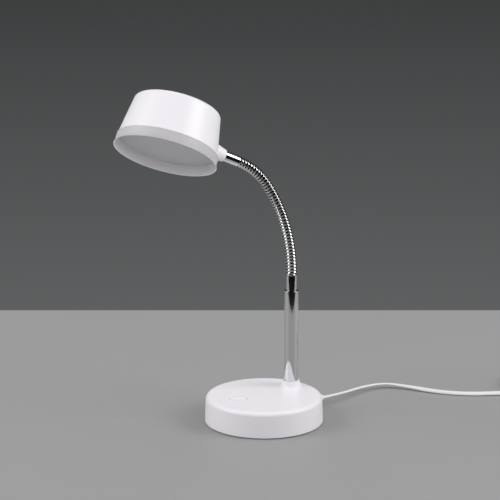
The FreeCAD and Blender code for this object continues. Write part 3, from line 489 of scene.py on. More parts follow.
class Finishes:
    """Makes each finish's material once and puts it on pieces."""

    def __init__(self) -> None:
        """Starts with no material made."""
        self.made: dict[Finish, bpy.types.Material] = {}

    def dress(self, piece: bpy.types.Object, finish: Finish) -> None:
        """Gives a piece one finish in place of what it wears.

        Args:
            piece: A new piece or a CAD node.
            finish: The finish that it gets.
        """
        if finish not in self.made:
            self.made[finish] = finish.value.material()
        piece.data.materials.clear()
        piece.data.materials.append(self.made[finish])

    def dress_nodes(self) -> None:
        """Dresses every CAD node in its record's slot."""
        for entry in frame["record"]["subparts"]:
            self.dress(frame["nodes"][entry["node"]], Finish[entry["material_slot"]])


finishes = Finishes()


def fit_out(piece: bpy.types.Object, finish: Finish, body: str, *nodes: str) -> bpy.types.Object:
    """Dresses a piece, puts it on its body and hides the CAD nodes that it stands for.

    Args:
        piece: The new piece.
        finish: Its finish, and so its slot.
        body: The body that it rides.
        *nodes: The CAD nodes that it replaces.

    Returns:
        The same piece.
    """
    finishes.dress(piece, finish)
    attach(piece, body)
    if nodes:
        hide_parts(*nodes)
    log.info("%s on %s, %d faces", piece.name, body, len(piece.data.polygons))
    return piece


# The photograph's camera and the studio


@dataclass
class PhotoCamera:
    """The camera of the photograph, in millimetres and degrees."""

    position: tuple[float, float, float] = (-14.2, -2125.5, 722.8)
    pitch: float = 14.36
    focal_pixels: float = 2200.0
    frame_pixels: float = 500.0
    sensor: float = 36.0

    def build(self) -> None:
        """Makes the camera and gives it to the scene."""
        data = bpy.data.cameras.new("photo_camera")
        data.sensor_width = self.sensor
        data.lens = self.sensor * self.focal_pixels / self.frame_pixels
        data.clip_start, data.clip_end = 0.05, 50.0
        camera = bpy.data.objects.new("photo_camera", data)
        camera.location = np.array(self.position) * MM
        camera.rotation_euler = (math.radians(90 - self.pitch), 0.0, 0.0)
        bpy.context.scene.collection.objects.link(camera)
        bpy.context.scene.camera = camera


@dataclass(frozen=True)
class SoftBox:
    """A rectangular studio lamp. Metres and watts."""

    name: str
    at: tuple[float, float, float]
    aim: tuple[float, float, float]
    width: float
    height: float
    power: float

    def build(self) -> None:
        """Makes the lamp and turns its face to the point that it lights."""
        data = bpy.data.lights.new(self.name, "AREA")
        data.shape = "RECTANGLE"
        data.size, data.size_y, data.energy = self.width, self.height, self.power
        lamp = bpy.data.objects.new(self.name, data)
        lamp.location = self.at
        way = np.array(self.aim) - np.array(self.at)
        level = math.hypot(way[0], way[1])
        heading = math.atan2(way[1], way[0]) - math.pi / 2
        lamp.rotation_euler = (math.atan2(level, -way[2]), 0.0, heading)
        bpy.context.scene.collection.objects.link(lamp)


@dataclass
class Studio:
    """A pale table top with open air round it, and soft lamps. Lengths in metres."""

    front: float = -0.358
    front_curve: float = 0.94
    back: float = 0.407
    side: float = 0.85
    floor_colour: tuple[float, float, float] = (0.32, 0.32, 0.322)
    wall_low: tuple[float, float, float] = (0.115, 0.12, 0.122)
    wall_high: tuple[float, float, float] = (0.045, 0.046, 0.047)
    wall_from: float = -0.28
    wall_to: float = -0.13
    dark_front: float = 0.006
    room_light: float = 0.75
    lamps: tuple[SoftBox, ...] = (
        SoftBox("right_light", (2.7, -0.5, 2.0), (0.0, 0.0, 0.15), 1.8, 1.8, 47.0),
        SoftBox("left_light", (-2.6, -0.5, 2.0), (0.0, 0.0, 0.15), 1.8, 1.8, 39.0),
    )

    def build(self) -> None:
        """Makes the table top, the world and the lamps."""
        self.table_top()
        self.world()
        for lamp in self.lamps:
            lamp.build()

    def table_top(self) -> None:
        """The floor that the lamp stands on: a flat grid between its front and back edges.

        The front edge is a parabola: it recedes with the square of the distance from the middle.
        """
        rows, columns = 9, 49
        x, share = np.meshgrid(np.linspace(-self.side, self.side, columns), np.linspace(0, 1, rows))
        edge = self.front + self.front_curve * x**2
        y = edge + (self.back - edge) * share
        points = np.stack([x.ravel(), y.ravel(), np.zeros(x.size)], -1)
        floor = mesh_object("floor", points, [grid_faces(rows, columns, False, False)])
        look = Look("floor").set(Roughness=0.55, Specular_IOR_Level=0.3)
        shaded = tuple(0.985 * channel for channel in self.floor_colour)
        look.tint(look.noise(3.0), self.floor_colour, shaded)
        floor.data.materials.append(look.material)

    def world(self) -> None:
        """Even room light; the camera, gloss and glass see a wall that darkens upwards.

        Gloss sees an unlit room in front of the table.
        """
        world = bpy.data.worlds.new("studio")
        world.use_nodes = True
        nodes, links = world.node_tree.nodes, world.node_tree.links
        nodes.clear()

        def node(kind: str, operation: str = "") -> bpy.types.Node:
            """A new node.

            Args:
                kind: Blender's name of the node.
                operation: Its operation, where it has one.

            Returns:
                The node.
            """
            made = nodes.new(kind)
            if operation:
                made.operation = operation
            return made

        place, split = node("ShaderNodeTexCoord"), node("ShaderNodeSeparateXYZ")
        links.new(place.outputs["Generated"], split.inputs["Vector"])
        height = node("ShaderNodeMapRange")
        height.inputs["From Min"].default_value = self.wall_from
        height.inputs["From Max"].default_value = self.wall_to
        links.new(split.outputs["Z"], height.inputs["Value"])
        wall = node("ShaderNodeValToRGB")
        wall.color_ramp.elements[0].color = (*self.wall_low, 1.0)
        wall.color_ramp.elements[1].color = (*self.wall_high, 1.0)
        links.new(height.outputs["Result"], wall.inputs["Fac"])

        ahead, dark_gloss = node("ShaderNodeMath", "LESS_THAN"), node("ShaderNodeMath", "MULTIPLY")
        ahead.inputs[1].default_value = 0.0
        links.new(split.outputs["Y"], ahead.inputs[0])
        path = node("ShaderNodeLightPath")
        links.new(ahead.outputs["Value"], dark_gloss.inputs[0])
        links.new(path.outputs["Is Glossy Ray"], dark_gloss.inputs[1])
        shade = node("ShaderNodeMix")
        shade.data_type = "RGBA"
        links.new(dark_gloss.outputs["Value"], shade.inputs["Factor"])
        links.new(wall.outputs["Color"], shade.inputs[MIX_FIRST])
        shade.inputs[MIX_SECOND].default_value = (self.dark_front,) * 3 + (1.0,)

        first, seen = node("ShaderNodeMath", "MAXIMUM"), node("ShaderNodeMath", "MAXIMUM")
        links.new(path.outputs["Is Camera Ray"], first.inputs[0])
        links.new(path.outputs["Is Glossy Ray"], first.inputs[1])
        links.new(first.outputs["Value"], seen.inputs[0])
        links.new(path.outputs["Is Transmission Ray"], seen.inputs[1])
        room, sight = node("ShaderNodeBackground"), node("ShaderNodeBackground")
        room.inputs["Strength"].default_value = self.room_light
        room.inputs["Color"].default_value = (1.0, 1.0, 1.0, 1.0)
        links.new(shade.outputs[MIX_RESULT], sight.inputs["Color"])
        mix, out = node("ShaderNodeMixShader"), node("ShaderNodeOutputWorld")
        links.new(seen.outputs["Value"], mix.inputs["Fac"])
        links.new(room.outputs["Background"], mix.inputs[1])
        links.new(sight.outputs["Background"], mix.inputs[2])
        links.new(mix.outputs["Shader"], out.inputs["Surface"])
        bpy.context.scene.world = world


# The neck's middle line


@dataclass(frozen=True)
class NeckLine:
    """The gooseneck's middle line at rest: two stretches of even bend. Millimetres and degrees."""

    heading: float = 199.0
    pitch: float = 9.867
    low_links: int = 10
    high_links: int = 4
    low_bend: float = 32.2
    high_bend: float = 33.3
    step: float = 0.1

    @property
    def length(self) -> float:
        """The length of the bending stretch."""
        return self.pitch * (self.low_links + self.high_links)

    @property
    def forward(self) -> np.ndarray:
        """The level direction that the neck leans in."""
        angle = math.radians(self.heading)
        return np.array([math.cos(angle), math.sin(angle), 0.0])

    @property
    def side(self) -> np.ndarray:
        """The level direction across the bend's plane."""
        angle = math.radians(self.heading)
        return np.array([-math.sin(angle), math.cos(angle), 0.0])

    def start(self) -> np.ndarray:
        """The first joint's place, from the record."""
        return np.array(joint_place("neck_bend")) / MM

    def lean(self, s: np.ndarray) -> np.ndarray:
        """The angle from upright along the line: straight, then two even bends, then straight.

        Args:
            s: Distances along the line.

        Returns:
            Angles in radians.
        """
        knots = np.array([0.0, self.low_links, self.low_links + self.high_links]) * self.pitch
        angles = np.radians([0.0, self.low_bend, self.low_bend + self.high_bend])
        return np.interp(s, knots, angles)

    def along(self, s: np.ndarray) -> np.ndarray:
        """Unit tangents at distances along the line."""
        angle = self.lean(np.atleast_1d(s))[:, None]
        return np.sin(angle) * self.forward + np.cos(angle) * UP

    def across(self, s: np.ndarray) -> np.ndarray:
        """Unit normals in the bend's plane."""
        angle = self.lean(np.atleast_1d(s))[:, None]
        return np.cos(angle) * self.forward - np.sin(angle) * UP

    def at(self, s: np.ndarray) -> np.ndarray:
        """Points along the line, by adding up its tangents in small steps.

        Args:
            s: Distances along the line.

        Returns:
            Points in the lamp's frame, one row each.
        """
        s = np.atleast_1d(s).astype(float)
        fine = np.arange(0.0, self.length + self.step, self.step)
        walked = self.along(fine[:-1] + self.step / 2) * self.step
        line = np.vstack([np.zeros(3), np.cumsum(walked, 0)]) + self.start()
        inside = np.stack([np.interp(s, fine, line[:, axis]) for axis in range(3)], -1)
        before = np.minimum(s, 0.0)[:, None] * UP
        after = np.maximum(s - fine[-1], 0.0)[:, None] * self.along(np.array([self.length]))
        return inside + before + after


def joint_place(name: str) -> tuple:
    """A joint's place in the record, in metres."""
    return next(joint["pos_m"] for joint in frame["joints"] if joint["name"] == name)


neck_line = NeckLine()


# The base


@dataclass
class Base:
    """The round cover with its collar, and the push button. Sizes in millimetres."""

    radius: float = 60.0
    top_radius: float = 59.05
    foot: float = 0.6
    top: float = 26.9
    wall: float = 2.2
    edge_round: float = 4.0
    foot_round: float = 0.5
    collar_foot: float = 10.2
    collar_top: float = 8.5
    collar_height: float = 6.6
    collar_flare: float = 3.2
    collar_skirt: float = 4.0
    collar_proud: float = 0.004
    collar_sink: float = 0.2
    socket: float = 7.35
    button_radius: float = 9.1
    button_gap: float = 0.3
    button_edge: float = 0.45
    hole_edge: float = 0.4
    button_flange: float = 10.4
    button_sink: float = 0.6
    button_dish: float = 0.75
    button_skirt: float = 1.2
    button_rim: float = 1.2
    dish_inset: float = 1.5

    def build(self) -> None:
        """Builds the base's visible pieces."""
        self.cover()
        self.collar()
        self.button()

    def button_centre(self) -> np.ndarray:
        """The button's middle, from its node's box."""
        low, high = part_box("switch_button")
        return np.array((low + high) / 2)[:2] / MM

    def stem_centre(self) -> np.ndarray:
        """The stem's middle, from its node's box."""
        low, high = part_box("stem_tube")
        return np.array((low + high) / 2)[:2] / MM

    def cover(self) -> None:
        """The shell. Rings run from the button's hole over the top, down the side and back inside.

        A point of a ring is its centre plus its radius times the cosine and sine of the angle.
        Centres move in a straight line from the hole's middle to the base's middle on the flat top.
        """
        ceiling = self.top - self.wall
        hole = self.button_radius + self.button_gap
        outside = rounded_outline(
            [
                (hole, ceiling, 0),
                (hole, self.top, self.hole_edge),
                (self.top_radius, self.top, self.edge_round),
                (self.radius, self.foot, self.foot_round),
                (self.radius - self.wall, self.foot, self.foot_round),
                (self.top_radius - self.wall, ceiling, self.edge_round - self.wall),
            ],
            steps=13,
        )
        near_hole = outside[:, 0] < hole + self.hole_edge + 1.1 * BRACE
        centre = np.where(near_hole[:, None], self.button_centre(), 0.0)
        flat = centre[:, None, :] + outside[:, 0, None, None] * circle(2 * SEGMENTS)[None]
        points = lifted(flat, outside[:, 1]) * MM
        faces = [grid_faces(len(outside), 2 * SEGMENTS, True, True)]
        fit_out(mesh_object("base_shell", points, faces), Finish.white_shell, "base", "base_cover")

    def collar(self) -> None:
        """The cone round the stem's foot, turned about the stem, flaring into the flat top."""
        rise = self.top + self.collar_height
        outline = rounded_outline(
            [
                (self.socket, self.top - self.collar_sink, 0),
                (self.socket, rise, 0.35),
                (self.collar_top, rise, 0.55),
                (self.collar_foot, self.top, self.collar_flare),
                (self.collar_foot + self.collar_skirt, self.top + self.collar_proud, 0),
                (self.collar_foot + self.collar_skirt, self.top - self.collar_sink, 0),
            ],
            steps=9,
        )
        points, faces = turned(outline)
        place = Place(np.array([*self.stem_centre(), 0.0]))
        collar = mesh_object("base_collar", place.to_lamp(points), faces)
        fit_out(collar, Finish.white_shell, "base")

    def button(self) -> None:
        """The dished push button, turned about its own middle.

        The dish is a parabola: its depth falls with the square of the distance from the middle.
        """
        top = self.top - self.button_sink
        flange_top = self.top - self.wall - self.button_gap
        rim = rounded_outline(
            [
                (self.button_flange, flange_top - self.button_skirt, 0),
                (self.button_flange, flange_top, 0.2),
                (self.button_radius, flange_top, 0.1),
                (self.button_radius, top, self.button_edge),
                (self.button_radius - self.button_rim, top, 0),
            ],
            closed=False,
        )
        reach = np.linspace(self.button_radius - self.dish_inset, 0.0, 14)
        dish = top - self.button_dish * (1 - (reach / reach[0]) ** 2)
        outline = np.vstack([[0.0, flange_top - self.button_skirt], rim, np.stack([reach, dish], -1)])
        points, faces = turned(outline, closed=False)
        place = Place(np.array([*self.button_centre(), 0.0]))
        button = mesh_object("push_button", place.to_lamp(points), faces)
        fit_out(button, Finish.white_shell, "button", "switch_button")


# The stem and the neck


@dataclass
class Stem:
    """The chrome tube and the lower ferrule. Sizes in millimetres."""

    tube_radius: float = 7.25
    tube_bore: float = 6.05
    tube_edge: float = 0.35
    mouth_gap: float = 0.05
    mouth_depth: float = 0.8
    lip: float = 0.25
    lip_height: float = 1.1
    ferrule_radius: float = 5.5
    spigot_radius: float = 4.5
    bore: float = 2.3
    ferrule_edge: float = 0.5

    def build(self) -> None:
        """Builds the tube and the ferrule on its top, both turned about the stem's axis."""
        low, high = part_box("stem_tube")
        middle = np.array((low + high) / 2) / MM
        foot, top = low.z / MM, high.z / MM
        place = Place(np.array([middle[0], middle[1], 0.0]))
        tube = rounded_outline(
            [
                (self.tube_bore, foot, 0),
                (self.tube_radius, foot, 0),
                (self.tube_radius, top + self.mouth_gap, self.tube_edge),
                (self.ferrule_radius + self.mouth_gap, top + self.mouth_gap, 0.2),
                (self.ferrule_radius + self.mouth_gap, top - self.mouth_depth, 0),
                (self.tube_bore, top - self.mouth_depth, 0),
            ]
        )
        points, faces = turned(tube)
        pipe = mesh_object("stem_pipe", place.to_lamp(points), faces)
        fit_out(pipe, Finish.chrome, "base", "stem_tube")

        ferrule_low, ferrule_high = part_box("lower_ferrule")
        ferrule = rounded_outline(
            [
                (self.bore, ferrule_low.z / MM, 0),
                (self.spigot_radius, ferrule_low.z / MM, 0),
                (self.spigot_radius, top, 0),
                (self.ferrule_radius, top, 0.3),
                (self.ferrule_radius, ferrule_high.z / MM - self.lip_height, 0.1),
                (self.ferrule_radius + self.lip, ferrule_high.z / MM - self.lip_height + self.lip, 0.2),
                (self.ferrule_radius + self.lip, ferrule_high.z / MM, self.ferrule_edge),
                (self.bore, ferrule_high.z / MM, 0),
            ]
        )
        points, faces = turned(ferrule)
        piece = mesh_object("hose_ferrule_low", place.to_lamp(points), faces)
        fit_out(piece, Finish.chrome, "base", "lower_ferrule")


@dataclass
class Hose:
    """The wound hose, in one stretch for each joint. Millimetres."""

    outer: float = 5.55
    groove_depth: float = 0.85
    winding: float = 3.31
    bore: float = 2.3
    rows_per_turn: int = 24
    segments: int = 64
    ferrule_gap: float = 0.75
    bent_share: float = 0.8

    def build(self) -> None:
        """Builds the stretches between the two ferrules, each bent over its own joint."""
        joints = neck_line.low_links + neck_line.high_links
        for index in range(joints + 1):
            self.stretch(index, joints)
        log.info("hose in %d stretches", joints + 1)

    def profile(self, phase: np.ndarray) -> np.ndarray:
        """The hose's radius at a phase of its winding, from 0 to 1.

        The wire stands out and the gap between its turns lies deeper: the radius is the outer
        radius less the groove's depth times half of one minus the phase's cosine.
        """
        return self.outer - self.groove_depth * (1 - np.cos(2 * np.pi * phase)) / 2

    def stretch(self, index: int, last: int) -> None:
        """One stretch of hose, from the middle of one link to the middle of the next.

        A point is the middle line plus the profile's radius along the turned normals, with the
        phase growing with the distance and falling with the angle, which makes one helix.

        Args:
            index: The joint's number, from the stem.
            last: The number of the joint at the head.
        """
        half = neck_line.pitch / 2
        centre = index * neck_line.pitch
        start = -self.ferrule_gap if index == 0 else centre - half
        end = centre + (self.ferrule_gap if index == last else half)
        rows = int(round((end - start) / self.winding * self.rows_per_turn)) + 1
        s = np.linspace(start, end, rows)
        angle = np.linspace(0, 2 * np.pi, self.segments, endpoint=False)
        radius = self.profile(s[:, None] / self.winding - angle[None, :] / (2 * np.pi))
        middle, across = neck_line.at(s), neck_line.across(s)
        way = (
            across[:, None, :] * np.cos(angle)[None, :, None]
            + neck_line.side[None, None, :] * np.sin(angle)[None, :, None]
        )
        outside = middle[:, None, :] + radius[:, :, None] * way
        inside = middle[::-1, None, :] + self.bore * way[::-1]
        points = np.concatenate([outside, inside]).reshape(-1, 3) * MM
        faces = [grid_faces(2 * rows, self.segments, True, True)]
        piece = mesh_object(f"hose_{index:02d}", points, faces, crease=70.0)
        finishes.dress(piece, Finish.chrome)
        knot = np.array([centre])
        joint = neck_line.at(knot)[0]
        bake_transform(piece)
        if index < last:
            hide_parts(f"gooseneck_link_{index + 1:02d}")


# The head


@dataclass
class Head:
    """The shade with its boss, the diffuser and the upper ferrule. Millimetres and degrees."""

    roll: float = 22.8
    ferrule: float = 17.0
    rim_radius: float = 53.0
    taper: float = 0.186
    height: float = 53.2
    top_round: float = 4.8
    wall: float = 2.0
    seam: float = 10.8
    boss_stand: float = 7.5
    boss_height: float = 23.0
    boss_tip: float = 6.2
    boss_root: float = 9.0
    boss_embed: float = 1.722
    boss_fillet: float = 2.2
    boss_edge: float = 0.5
    tail_bore: float = 4.1
    rim_wall: float = 1.8
    face: float = 10.0
    face_thick: float = 1.6
    lip: float = 2.8
    lip_wall: float = 1.5
    seam_gap: float = 0.12
    hose_radius: float = 5.5
    ferrule_gap: float = 0.75
    bore: float = 2.3
    tail_radius: float = 4.0
    tail_reach: float = 8.5
    wall_sink: float = 0.02
    skirt_sink: float = 0.4

    def place(self) -> Place:
        """The head's frame.

        Returns:
            The place with its origin in the rim's middle, Z to the closed top and X to the neck.
        """
        end = np.array([neck_line.length])
        along, across = neck_line.along(end)[0], neck_line.across(end)[0]
        roll = math.radians(self.roll)
        opening = across * math.cos(roll) + neck_line.side * math.sin(roll)
        axis = neck_line.at(end)[0] + along * (self.ferrule + self.rim_radius + self.boss_stand)
        x, z = -along, -opening
        return Place(axis + opening * self.boss_height, np.stack([x, np.cross(z, x), z], -1))

    def shell_radius(self, height: float) -> float:
        """The head's outer radius at a height above its rim."""
        return self.rim_radius - self.taper * height

    def build(self) -> None:
        """Builds the head's visible pieces."""
        where = self.place()
        self.shade(where)
        self.boss(where)
        self.diffuser(where)
        self.upper_ferrule(where)

    def shade(self, where: Place) -> None:
        """The shell, turned about the head's axis.

        Args:
            where: The head's frame.
        """
        inner_top = self.height - self.wall
        outline = rounded_outline(
            [
                (self.shell_radius(self.seam), self.seam + self.seam_gap, 0.35),
                (self.shell_radius(self.height), self.height, self.top_round),
                (0, self.height, 0),
                (0, inner_top, 0),
                (self.shell_radius(inner_top) - self.wall, inner_top, self.top_round - self.wall),
                (self.shell_radius(self.seam) - self.wall, self.seam + self.seam_gap, 0.2),
            ],
            steps=15,
        )
        points, faces = turned(outline, 2 * SEGMENTS)
        piece = mesh_object("shade_shell", where.to_lamp(points), faces)
        fit_out(piece, Finish.white_shell, "head", "shade")

    def boss(self, where: Place) -> None:
        """The short cone that carries the neck, flowing into the shade's wall.

        Its side is a straight cone. At the root a cubic Hermite curve leaves the cone along its
        slope and lands on the wall along the wall, and each landing point is a little further out.

        Args:
            where: The head's frame.
        """
        tip = self.rim_radius + self.boss_stand
        root = self.shell_radius(self.boss_height) - self.boss_embed
        angle = np.linspace(0, 2 * np.pi, SEGMENTS, endpoint=False)
        ring = np.stack([np.zeros_like(angle), np.cos(angle), np.sin(angle)], -1)
        edge = self.boss_edge
        slope = (self.boss_root - self.boss_tip) / (tip - edge - root)

        def on_wall(spread: float) -> np.ndarray:
            """Points on the shade's wall round the boss.

            Args:
                spread: Their distance from the boss's axis.

            Returns:
                One point for each angle, in the head's frame.
            """
            y, z = spread * ring[:, 1], self.boss_height + spread * ring[:, 2]
            shell = self.rim_radius - self.taper * z
            return np.stack([np.sqrt(shell**2 - y**2) - self.wall_sink, y, z], -1)

        def on_cone(x: np.ndarray) -> np.ndarray:
            """Points on the cone at distances from the head's axis."""
            spread = self.boss_tip + slope * (tip - edge - x)
            return np.stack([x, spread * ring[:, 1], self.boss_height + spread * ring[:, 2]], -1)

        touch = on_wall(self.boss_root)
        leave = on_cone(touch[:, 0] + self.boss_fillet)
        land = on_wall(self.boss_root + self.boss_fillet)
        tip_ring = on_cone(np.full_like(angle, tip - edge - BRACE))
        leave_way = leave - tip_ring
        leave_way /= np.linalg.norm(leave_way, axis=1)[:, None]
        land_way = land - touch
        land_way /= np.linalg.norm(land_way, axis=1)[:, None]
        span = np.linalg.norm(land - leave, axis=1)[:, None]
        t = np.linspace(0, 1, 12)[:, None, None]
        curve = (
            (2 * t**3 - 3 * t**2 + 1) * leave
            + (t**3 - 2 * t**2 + t) * leave_way * span
            + (-2 * t**3 + 3 * t**2) * land
            + (t**3 - t**2) * land_way * span
        )
        bend = np.linspace(0, np.pi / 2, 6)
        rounding = [
            np.array([tip - edge + edge * math.sin(a), 0, self.boss_height])
            + (self.boss_tip - edge + edge * math.cos(a)) * ring
            for a in bend[::-1]
        ]
        bore_out = np.array([tip, 0, self.boss_height]) + self.tail_bore * ring
        bore_in = np.array([root, 0, self.boss_height]) + self.tail_bore * ring
        under = land - np.array([self.skirt_sink, 0, 0])
        near_leave = on_cone(leave[:, 0] + BRACE)
        rows = np.stack([bore_in, bore_out, *rounding, tip_ring, near_leave, *curve, under])
        points = where.to_lamp(rows.reshape(-1, 3))
        piece = mesh_object("shade_boss", points, [grid_faces(len(rows), SEGMENTS, True, True)])
        fit_out(piece, Finish.white_shell, "head")

    def diffuser(self, where: Place) -> None:
        """The frosted rim with its sunk face, turned about the head's axis.

        Args:
            where: The head's frame.
        """
        face_top = self.face + self.face_thick
        lip_top = self.seam + self.lip
        lip_low_radius = self.shell_radius(self.seam) - self.wall - 0.1
        lip_radius = self.shell_radius(lip_top) - self.wall - 0.1
        inside = self.shell_radius(self.face) - self.rim_wall
        outline = rounded_outline(
            [
                (0, self.face, 0),
                (inside, self.face, 0.9),
                (self.rim_radius - self.rim_wall, 0, 0.6),
                (self.rim_radius, 0, 0.8),
                (self.shell_radius(self.seam), self.seam, 0.4),
                (lip_low_radius, self.seam, 0),
                (lip_radius, lip_top, 0.3),
                (lip_radius - self.lip_wall, lip_top, 0.3),
                (lip_radius - self.lip_wall, face_top, 0.2),
                (0, face_top, 0),
            ],
            steps=8,
        )
        points, faces = turned(outline, 2 * SEGMENTS)
        piece = mesh_object("diffuser_rim", where.to_lamp(points), faces)
        fit_out(piece, Finish.frosted, "head", "diffuser")

    def upper_ferrule(self, where: Place) -> None:
        """The ferrule and its threaded tail, turned about the boss's axis.

        Args:
            where: The head's frame.
        """
        tip = self.rim_radius + self.boss_stand
        root = self.shell_radius(self.boss_height) - self.boss_embed
        tail = root - self.tail_reach
        end = tip + self.ferrule - self.ferrule_gap
        outline = rounded_outline(
            [
                (self.bore, tail, 0),
                (self.tail_radius, tail, 0.3),
                (self.tail_radius, tip, 0),
                (self.hose_radius, tip, 0.3),
                (self.hose_radius, end, 0.5),
                (self.bore, end, 0),
            ]
        )
        points, faces = turned(outline, 96)
        local = np.stack([points[:, 2], points[:, 1], self.boss_height - points[:, 0]], -1)
        piece = mesh_object("hose_ferrule_high", where.to_lamp(local), faces)
        fit_out(piece, Finish.chrome, "head", "upper_ferrule")


# The mains cord


@dataclass
class MainsCord:
    """The flat twin cord on the table, its coil and its tail to the plug. Millimetres."""

    width: float = 5.0
    thick: float = 2.8
    length: float = 1750.0
    coil_centre: tuple[float, float] = (298.0, 112.0)
    coil_radius: float = 28.0
    turns: float = 8.25
    spacing: float = 4.95
    points_per_turn: int = 16
    first_turn: float = 0.06
    held_angle: float = 0.35
    drawn_in: float = 0.14
    samples: int = 24
    exit_azimuth: float = 40.0
    exit_height: float = 7.6
    wall_radius: float = 59.8
    relief_end: float = 80.0
    relief_root: float = 4.0
    relief_tip: float = 2.95
    relief_ribs: int = 5
    rib_depth: float = 0.45
    clip_start: float = 54.3
    clip_end: float = 55.8
    clip_half: tuple[float, float] = (6.0, 2.6)
    neck_radius: float = 2.9
    rib_fade: float = 0.7
    tip_edge: float = 0.3
    pole: float = 0.01
    clip_squareness: float = 6.0
    relief_columns: int = 64
    tie_outer: float = 7.5
    tie_thick: float = 1.0
    tie_width: float = 4.0
    tie_edge: float = 0.25
    tie_power: float = 0.4
    tie_columns: int = 96

    def route(self) -> list[tuple[float, float, float]]:
        """The free stretch's points, given one by one.

        Returns:
            Points from the strain relief's tip to the coil.
        """
        low = 2.1
        return [
            (59.0, 49.5, 7.6),
            (80.5, 69.3, 5.3),
            (103.0, 95.0, 4.4),
            (128.0, 109.0, 4.2),
            (152.0, 102.0, 3.4),
            (180.0, 88.0, low),
            (212.0, 79.0, low),
            (246.0, 81.0, 2.3),
            (276.0, 84.0, 2.6),
        ]

    def coil(self) -> np.ndarray:
        """The coil's points: turns laid three abreast in three layers.

        The angle grows evenly. Each full turn shifts one place: outwards to inwards in the first
        layer, back in the next, with the step up spread over a turn, and the bundle is drawn in
        by a seventh where the tie holds it.

        Returns:
            Points in millimetres, one row each.
        """
        first_layer, next_layers = [(1, 0), (0, 0), (-1, 0)], [(-1, 1), (-1, 2), (0, 2), (0, 1), (1, 1)]
        cells = np.array([*first_layer, *next_layers, (1, 2), (1, 2)], float)
        count = int((self.turns - self.first_turn) * self.points_per_turn)
        turn = np.linspace(self.first_turn, self.turns, count)
        angle = -np.pi / 2 + 2 * np.pi * turn
        across = np.interp(turn, np.arange(len(cells)), cells[:, 0]) * self.spacing
        up = np.interp(turn, np.arange(len(cells)), cells[:, 1]) * self.spacing
        held = np.exp(-((np.mod(angle, 2 * np.pi) - np.pi) / self.held_angle) ** 2)
        across = across * (1 - self.drawn_in * held)
        middle = self.spacing
        up = middle + (up - middle) * (1 - self.drawn_in * held) + self.width / 2
        radius = self.coil_radius + across
        x = self.coil_centre[0] + radius * np.cos(angle)
        y = self.coil_centre[1] + radius * np.sin(angle)
        return np.stack([x, y, up], -1)

    def tail(self) -> list[tuple[float, float, float]]:
        """The points from the coil to the plug's relief."""
        return [(331.3, 128.0, 12.0), (330.9, 141.0, 7.6), (330.0, 153.0, 6.95)]

    def line(self) -> np.ndarray:
        """The smooth line that the whole route steers, read from its NURBS spline.

        Returns:
            Points in metres, one row each.
        """
        points = np.vstack([self.route(), self.coil(), self.tail()]) * MM
        curve = bpy.data.curves.new("cord_line", "CURVE")
        curve.dimensions = "3D"
        curve.resolution_u = self.samples // 2
        spline = curve.splines.new("NURBS")
        spline.points.add(len(points) - 1)
        spline.points.foreach_set("co", np.hstack([points, np.ones((len(points), 1))]).ravel())
        spline.order_u = 3
        spline.use_endpoint_u = True
        holder = bpy.data.objects.new("cord_line", curve)
        bpy.context.scene.collection.objects.link(holder)
        bpy.context.view_layer.update()
        mesh = bpy.data.meshes.new_from_object(holder)
        line = np.empty(len(mesh.vertices) * 3)
        mesh.vertices.foreach_get("co", line)
        bpy.data.objects.remove(holder)
        bpy.data.meshes.remove(mesh)
        return line.reshape(-1, 3)

    def lean(self, walked: np.ndarray) -> np.ndarray:
        """The tilt of the cord's flat side along its length.

        Args:
            walked: Distances along the cord, in metres.

        Returns:
            Tilts in radians.
        """
        knots = [0.0, 20.0, 95.0, 135.0, 215.0, 262.0]
        tilts = np.radians([0.0, -16.0, -16.0, 30.0, 34.0, 90.0])
        return np.interp(walked / MM, knots, tilts)

    def section(self) -> np.ndarray:
        """Half widths and half heights of the cord's outline: two round cores side by side.

        The half width is the cores' offset and radius spread by the cosine of the angle. The half
        height is the sine times the core's radius, less a bell-shaped groove between the cores.

        Returns:
            Points in millimetres, one row each.
        """
        angle = np.linspace(0, 2 * np.pi, self.samples, endpoint=False)
        core = self.thick / 2
        offset = self.width / 2 - core
        wide = offset * np.abs(np.cos(angle)) + core
        x = np.cos(angle) * wide
        groove = 1.0 - 0.10 * np.exp(-((x / (0.35 * offset)) ** 2))
        return np.stack([np.clip(x, -self.width / 2, self.width / 2), np.sin(angle) * core * groove], -1)

    def relief(self, line: np.ndarray) -> None:
        """The moulded strain relief: a clip behind the wall, a neck, and a ribbed tapering sleeve.

        A section is a superellipse: its half sizes times the cosine and sine of the angle, each
        raised to 2 over the squareness. Its middle runs straight out of the wall and then along
        the cord's line. The sleeve narrows evenly, less the rib's depth times a sine squared.

        Args:
            line: Points of the cord's line, in metres.
        """
        sleeve = np.linspace(self.wall_radius, self.relief_end, 90)
        share = (sleeve - sleeve[0]) / (sleeve[-1] - sleeve[0])
        ribs = np.sin(np.pi * self.relief_ribs * share) ** 2 * (share > 1 / self.relief_ribs)
        ribs *= self.rib_depth * (1 - self.rib_fade * share)
        radius = self.relief_root + (self.relief_tip - self.relief_root) * share - ribs
        radius[-1] -= self.tip_edge
        wide, high = self.clip_half
        flat = [
            (self.clip_start, self.pole, self.pole),
            (self.clip_start, wide, high),
            (self.clip_end, wide, high),
        ]
        ends = (self.clip_end, self.wall_radius)
        neck = [(reach, self.neck_radius, self.neck_radius) for reach in ends]
        body = np.stack([sleeve, radius, radius], -1)
        out = np.vstack([flat, neck, body, [(self.relief_end, self.pole, self.pole)]])
        square = np.where(np.arange(len(out)) < len(flat), self.clip_squareness, 2.0)[:, None]
        ring = circle(self.relief_columns)
        across = out[:, 1:2] * squared(ring[None, :, 0], 2 / square)
        up = out[:, 2:3] * squared(ring[None, :, 1], 2 / square)
        heading = math.radians(self.exit_azimuth)
        way = np.array([math.cos(heading), math.sin(heading), 0.0])
        start = line[: 2 * self.samples] / MM
